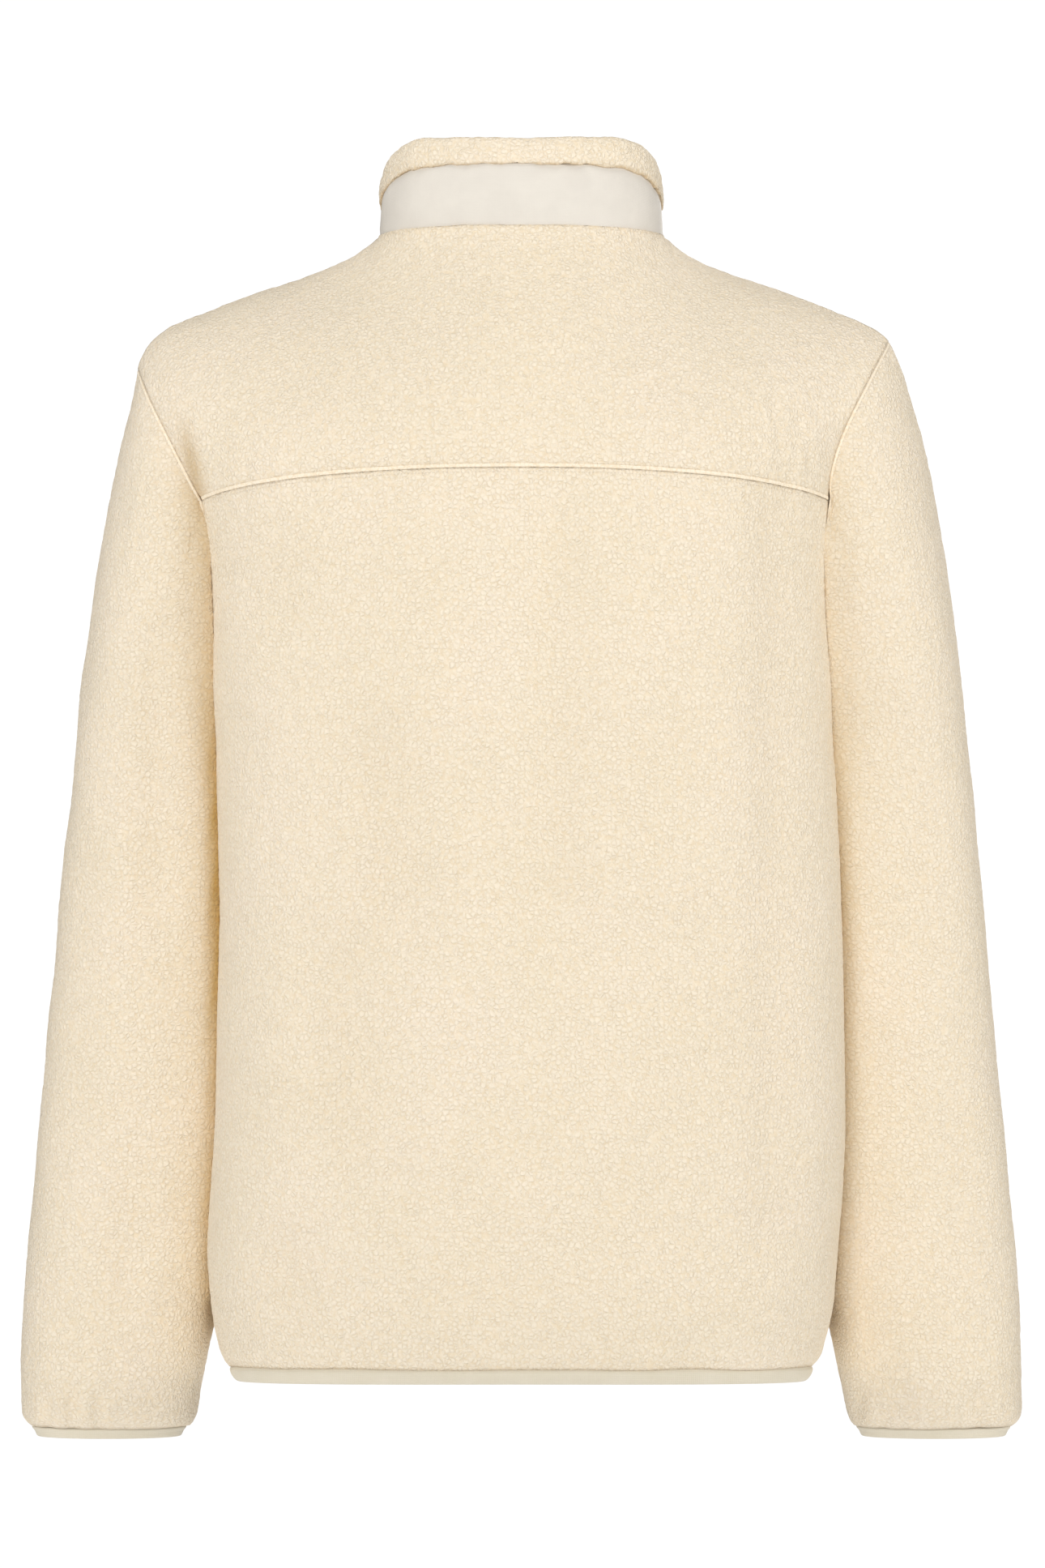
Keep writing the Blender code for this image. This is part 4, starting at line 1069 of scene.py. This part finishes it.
def make_zip(tape_material, teeth_material):
    path = centre_front()
    path[0, 1] = HEM_Z + HEM_DIP - BINDING_DROP + 0.0006
    made = {}
    even = along(path, even_shares(159))
    for name, sign in (("zip_tape_left", 1), ("zip_tape_right", -1)):
        near, far = sign * (CHAIN_HALF - 0.0006), sign * (ZIP_HALF - 0.0003)
        rings = strip_rings(even, near, far, TAPE_NEAR, TAPE_FAR)
        made[name] = tube_mesh(name + "_cloth", rings, False, tape_material)
        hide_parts(name)
    dense = along(path, even_shares(899))
    low, high = path[0, 1] + BOX_TALL + 0.0006, SLIDER_Z - 0.006
    spots = even_path(dense[(dense[:, 1] > low) & (dense[:, 1] < high)], TOOTH_PITCH / 2)
    verts, faces = [], []
    n = len(TOOTH)
    for k, ((y, z), (dy, dz)) in enumerate(zip(spots, unit(np.gradient(spots, axis=0)))):
        side = 1 if k % 2 else -1
        first = len(verts)
        for depth, shrink in TOOTH_LAYERS:
            for x, up in TOOTH:
                a, b = side * x * (shrink if x < 0 else 1), up * shrink
                verts.append((a, y + dz * depth + dy * b, z - dy * depth + dz * b))
        faces += quads(len(TOOTH_LAYERS), n, True, first, turned=side > 0)
        near, far = (tuple(range(start, start + n)) for start in (first, len(verts) - n))
        faces += [near, far[::-1]] if side > 0 else [near[::-1], far]
    made["zip_teeth"] = add_mesh("zip_teeth", verts, faces, teeth_material)
    made["zip_teeth"].data.set_sharp_from_angle(angle=radians(40))
    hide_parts("zip_chain")
    return made


# Materials ---------------------------------------
def new_material(name, roughness, sheen=0.0, sheen_roughness=0.5, tint=(1, 1, 1, 1), specular=0.3):
    material = bpy.data.materials.new(name)
    material.use_nodes = True
    tree = material.node_tree
    shader = tree.nodes["Principled BSDF"]
    for socket, value in (("Roughness", roughness), ("Sheen Weight", sheen), ("Sheen Tint", tint),
                          ("Sheen Roughness", sheen_roughness), ("Specular IOR Level", specular)):
        shader.inputs[socket].default_value = value
    place = tree.nodes.new("ShaderNodeTexCoord")
    return material, tree, shader, place.outputs["Object"]


def node(tree, kind, inputs=(), **settings):
    made = tree.nodes.new(kind)
    for key, value in settings.items():
        setattr(made, key, value)
    for key, value in dict(inputs).items():
        if isinstance(value, bpy.types.NodeSocket):
            tree.links.new(value, made.inputs[key])
        else:
            made.inputs[key].default_value = value
    return made


def ramp(tree, factor, stops):
    made = node(tree, "ShaderNodeValToRGB", {"Fac": factor})
    marks = made.color_ramp.elements
    while len(marks) < len(stops):
        marks.new(0.5)
    for mark, (at, colour) in zip(marks, stops):
        mark.position = at
        mark.color = (*colour, 1.0)
    return made.outputs["Color"]


def mix(tree, factor, a, b, how="MIX"):
    made = node(tree, "ShaderNodeMix", data_type="RGBA", blend_type=how)
    for key, value in ((0, factor), (6, a), (7, b)):
        if isinstance(value, bpy.types.NodeSocket):
            tree.links.new(value, made.inputs[key])
        else:
            made.inputs[key].default_value = value if key == 0 else (*value, 1.0)
    return made.outputs[2]


def bump(tree, height, distance, strength, under=None):
    made = node(tree, "ShaderNodeBump",
                {"Height": height, "Distance": distance, "Strength": strength})
    if under is not None:
        tree.links.new(under, made.inputs["Normal"])
    return made.outputs["Normal"]


def noise(tree, place, scale, detail=2.0):
    return node(tree, "ShaderNodeTexNoise",
                {"Vector": place, "Scale": scale, "Detail": detail}).outputs


def spread(tree, value, low, high, how="LINEAR"):
    """The value's place between two others, 0 to 1."""
    return node(tree, "ShaderNodeMapRange", {"Value": value, "From Min": low, "From Max": high},
                interpolation_type=how).outputs[0]


def dress(tree, shader, colour, normal):
    tree.links.new(colour, shader.inputs["Base Color"])
    tree.links.new(normal, shader.inputs["Normal"])


# Cream of the pile by place in its broad patches; the painted shade that the crevices and the
# creases multiply it by
CREAM = ((0.3, (0.900, 0.790, 0.622)), (0.5, (0.910, 0.800, 0.635)), (0.7, (0.920, 0.808, 0.650)))
CREVICE_SHADE, CREASE_SHADE = (0.92, 0.87, 0.78), (0.58, 0.42, 0.18)


def fleece_material(name="fleece", light=1.0, curled=1.0):
    """Cream pile of small round curls, with painted shade in the crevices between them and in the
    creases marked on the meshes.
    """
    material, tree, shader, place = new_material(name, 1.0, 0.2, 0.6, (1.0, 0.95, 0.86, 1.0), 0.1)
    shift = node(tree, "ShaderNodeVectorMath",
                 {0: noise(tree, place, 240.0)["Color"], 1: (0.0024, 0.0024, 0.0024), 2: place},
                 operation="MULTIPLY_ADD")
    curl = node(tree, "ShaderNodeTexVoronoi",
                {"Vector": shift.outputs[0], "Scale": 365.0, "Randomness": 0.9},
                feature="DISTANCE_TO_EDGE")
    dome = spread(tree, curl.outputs["Distance"], 0.0, 0.3, "SMOOTHSTEP")
    pile = node(tree, "ShaderNodeMath", {0: dome, 1: 0.5, 2: noise(tree, place, 420.0)["Fac"]},
                operation="MULTIPLY_ADD").outputs[0]
    tone = ramp(tree, noise(tree, place, 14.0)["Fac"],
                [(at, tuple(min(0.95, light * c) for c in colour)) for at, colour in CREAM])
    # Painted shade in the crevices between the curls
    deep = mix(tree, 1.0, tone, CREVICE_SHADE, "MULTIPLY")
    furred = mix(tree, spread(tree, pile, 0.35, 0.8), deep, tone)
    # Painted shade: where the meshes mark it, the colour is multiplied darker and browner
    crease = node(tree, "ShaderNodeAttribute", attribute_name="painted_shade")
    crease_shaded = mix(tree, 1.0, furred, CREASE_SHADE, "MULTIPLY")
    low = bump(tree, pile, 0.0011 * curled, 0.8)
    dress(tree, shader, mix(tree, crease.outputs["Fac"], furred, crease_shaded),
          bump(tree, noise(tree, place, 1500.0)["Fac"], 0.0002, 0.3, low))
    return material


def woven_material(name, dark, light, pitch, depth, plain):
    """Plain weave of a pitch and depth, with painted shade where it sinks between its threads;
    plain: how much of that painted shade the colour takes.
    """
    material, tree, shader, place = new_material(name, 0.75, 0.1, 0.5)
    waves = [node(tree, "ShaderNodeTexWave",
                  {"Vector": place, "Scale": 0.314 / pitch, "Distortion": 0.6, "Detail": 1.0,
                   "Detail Scale": 2.0},
                  wave_type="BANDS", bands_direction=axis).outputs["Fac"] for axis in ("X", "Z")]
    weave = node(tree, "ShaderNodeMath", dict(enumerate(waves)), operation="MAXIMUM").outputs[0]
    patch = noise(tree, place, 60.0, 4.0)["Fac"]
    tone = ramp(tree, patch, ((0.3, dark), (0.7, light)))
    # Painted shade in the low places of the weave, between its threads
    sunk = mix(tree, plain, tone, (0.9, 0.88, 0.85), "MULTIPLY")
    soft = bump(tree, patch, 0.0015, 0.5)
    dress(tree, shader, mix(tree, weave, sunk, tone), bump(tree, weave, depth, 0.7, soft))
    return material


def plastic_material(name, colour, roughness):
    material, tree, shader, place = new_material(name, roughness)
    grain = noise(tree, place, 900.0, 3.0)["Fac"]
    tone = ramp(tree, grain, ((0.3, tuple(0.93 * c for c in colour)), (0.7, colour)))
    dress(tree, shader, tone, bump(tree, grain, 0.0001, 0.3))
    return material


# Studio ------------------------------------------
CAMERA_X, CAMERA_DISTANCE, CAMERA_HEIGHT = -0.0007, 4.3, -0.45
CAMERA_TILT, LENS = 1.57, 163.3
# Strength of the sky as light and as the camera sees it, and of the floor's own glow
SKY_LIGHT, SKY_SEEN, FLOOR_GLOW = 0.14, 1.05, 0.42
FLOOR_Z, FLOOR_RADIUS = -3.0, 14
# name, place, height that it points at, size, power
LIGHTS = (
    ("top", (0, 1.2, 2.6), -0.3, 1.6, 37.0),
    ("camera_side", (0.6, 3.6, 0.2), -0.35, 2.0, 68.0),
    ("right", (-3.2, 0.8, 0.0), -0.4, 1.2, 40.0),
    ("left", (3.2, 0.8, 0.0), -0.4, 1.2, 24.0),
    ("front", (-0.6, -3.4, 0.6), -0.35, 2.0, 78.0),
)


def area_light(name, place, target_z, size, power):
    data = bpy.data.lights.new(name, "AREA")
    data.shape = "DISK"
    data.size = size
    data.energy = power
    lamp = add_object(name, data)
    lamp.location = place
    lamp.rotation_mode = "QUATERNION"
    run = Vector((0, 0, target_z)) - Vector(place)
    lamp.rotation_quaternion = run.to_track_quat("-Z", "Y")


def make_studio():
    data = bpy.data.cameras.new("camera")
    data.lens = LENS
    camera = add_object("camera", data)
    camera.location = (CAMERA_X, CAMERA_DISTANCE, CAMERA_HEIGHT)
    camera.rotation_euler = (radians(90 + CAMERA_TILT), 0.0, radians(180))
    bpy.context.scene.camera = camera
    world = bpy.data.worlds.new("studio")
    world.use_nodes = True
    bpy.context.scene.world = world
    tree = world.node_tree
    sky = tree.nodes["Background"]
    sky.inputs["Color"].default_value = (1.0, 1.0, 1.0, 1.0)
    seen = tree.nodes.new("ShaderNodeLightPath").outputs["Is Camera Ray"]
    strength = node(tree, "ShaderNodeMapRange",
                    {"Value": seen, "To Min": SKY_LIGHT, "To Max": SKY_SEEN})
    tree.links.new(strength.outputs[0], sky.inputs["Strength"])
    for light in LIGHTS:
        area_light(*light)
    mesh = bpy.data.meshes.new("floor")
    turn = np.linspace(0, 2 * pi, 96, endpoint=False)
    rim = [(FLOOR_RADIUS * cos(t), FLOOR_RADIUS * sin(t), FLOOR_Z) for t in turn]
    mesh.from_pydata(rim, [], [tuple(range(96))])
    material, tree, shader, place = new_material("floor", 0.9)
    grain = noise(tree, place, 3.0)["Fac"]
    tone = ramp(tree, grain, ((0.3, (0.93, 0.93, 0.93)), (0.7, (0.95, 0.95, 0.95))))
    tree.links.new(tone, shader.inputs["Base Color"])
    shader.inputs["Emission Color"].default_value = (1, 1, 1, 1)
    shader.inputs["Emission Strength"].default_value = FLOOR_GLOW
    mesh.materials.append(material)
    add_object("floor", mesh)
    bpy.context.scene.view_settings.view_transform = "Standard"


# name, darker and lighter colour, pitch, depth, share of the weave's painted shade in the colour
WOVENS = (
    ("woven_band", (0.755, 0.705, 0.63), (0.795, 0.745, 0.665), 0.0007, 0.0001, 0.25),
    ("elastic_binding", (0.76, 0.69, 0.54), (0.79, 0.72, 0.58), 0.0008, 0.0002, 0.6),
    ("zip_tape", (0.77, 0.70, 0.58), (0.83, 0.76, 0.64), 0.0008, 0.0003, 1.0),
    ("thread", (0.76, 0.66, 0.52), (0.82, 0.72, 0.58), 0.0005, 0.0001, 0.3),
)


def main():
    make_studio()
    fleece = fleece_material()
    woven, elastic, tape, thread = (woven_material(*row) for row in WOVENS)
    teeth = plastic_material("zip_teeth", (0.86, 0.80, 0.68), 0.35)
    metal = plastic_material("zip_hardware", (0.80, 0.75, 0.66), 0.3)
    # The cords are a 4% lighter copy of the fleece with low curls; the lighter colour is a painted
    # highlight on the seam ridges
    cord_cloth = fleece_material("yoke_cord", 1.04, 0.2)
    grids = panel_grids()
    items, carriers = {}, {}
    for name, panel in grids.items():
        items[name], carriers[name] = fleece_panel(name, panel, fleece)
    hem = make_hem(grids, elastic)
    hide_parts("hem_binding")
    for name, sign in (("left", 1), ("right", -1)):
        make_cuff("cuff_elastic_" + name, sign, elastic)
        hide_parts("cuff_" + name)
    roll, strip, seam = make_collar(grids, fleece, woven)
    sewing = make_sewing(grids, carriers, thread, cord_cloth)
    zip_parts = make_zip(tape, teeth)
    for name in ("zip_box", "slider", "pull_tab"):
        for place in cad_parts[name].material_slots:
            place.material = metal
    for name, item in items.items():
        grid, normals, closed, edges = grids[name]


main()
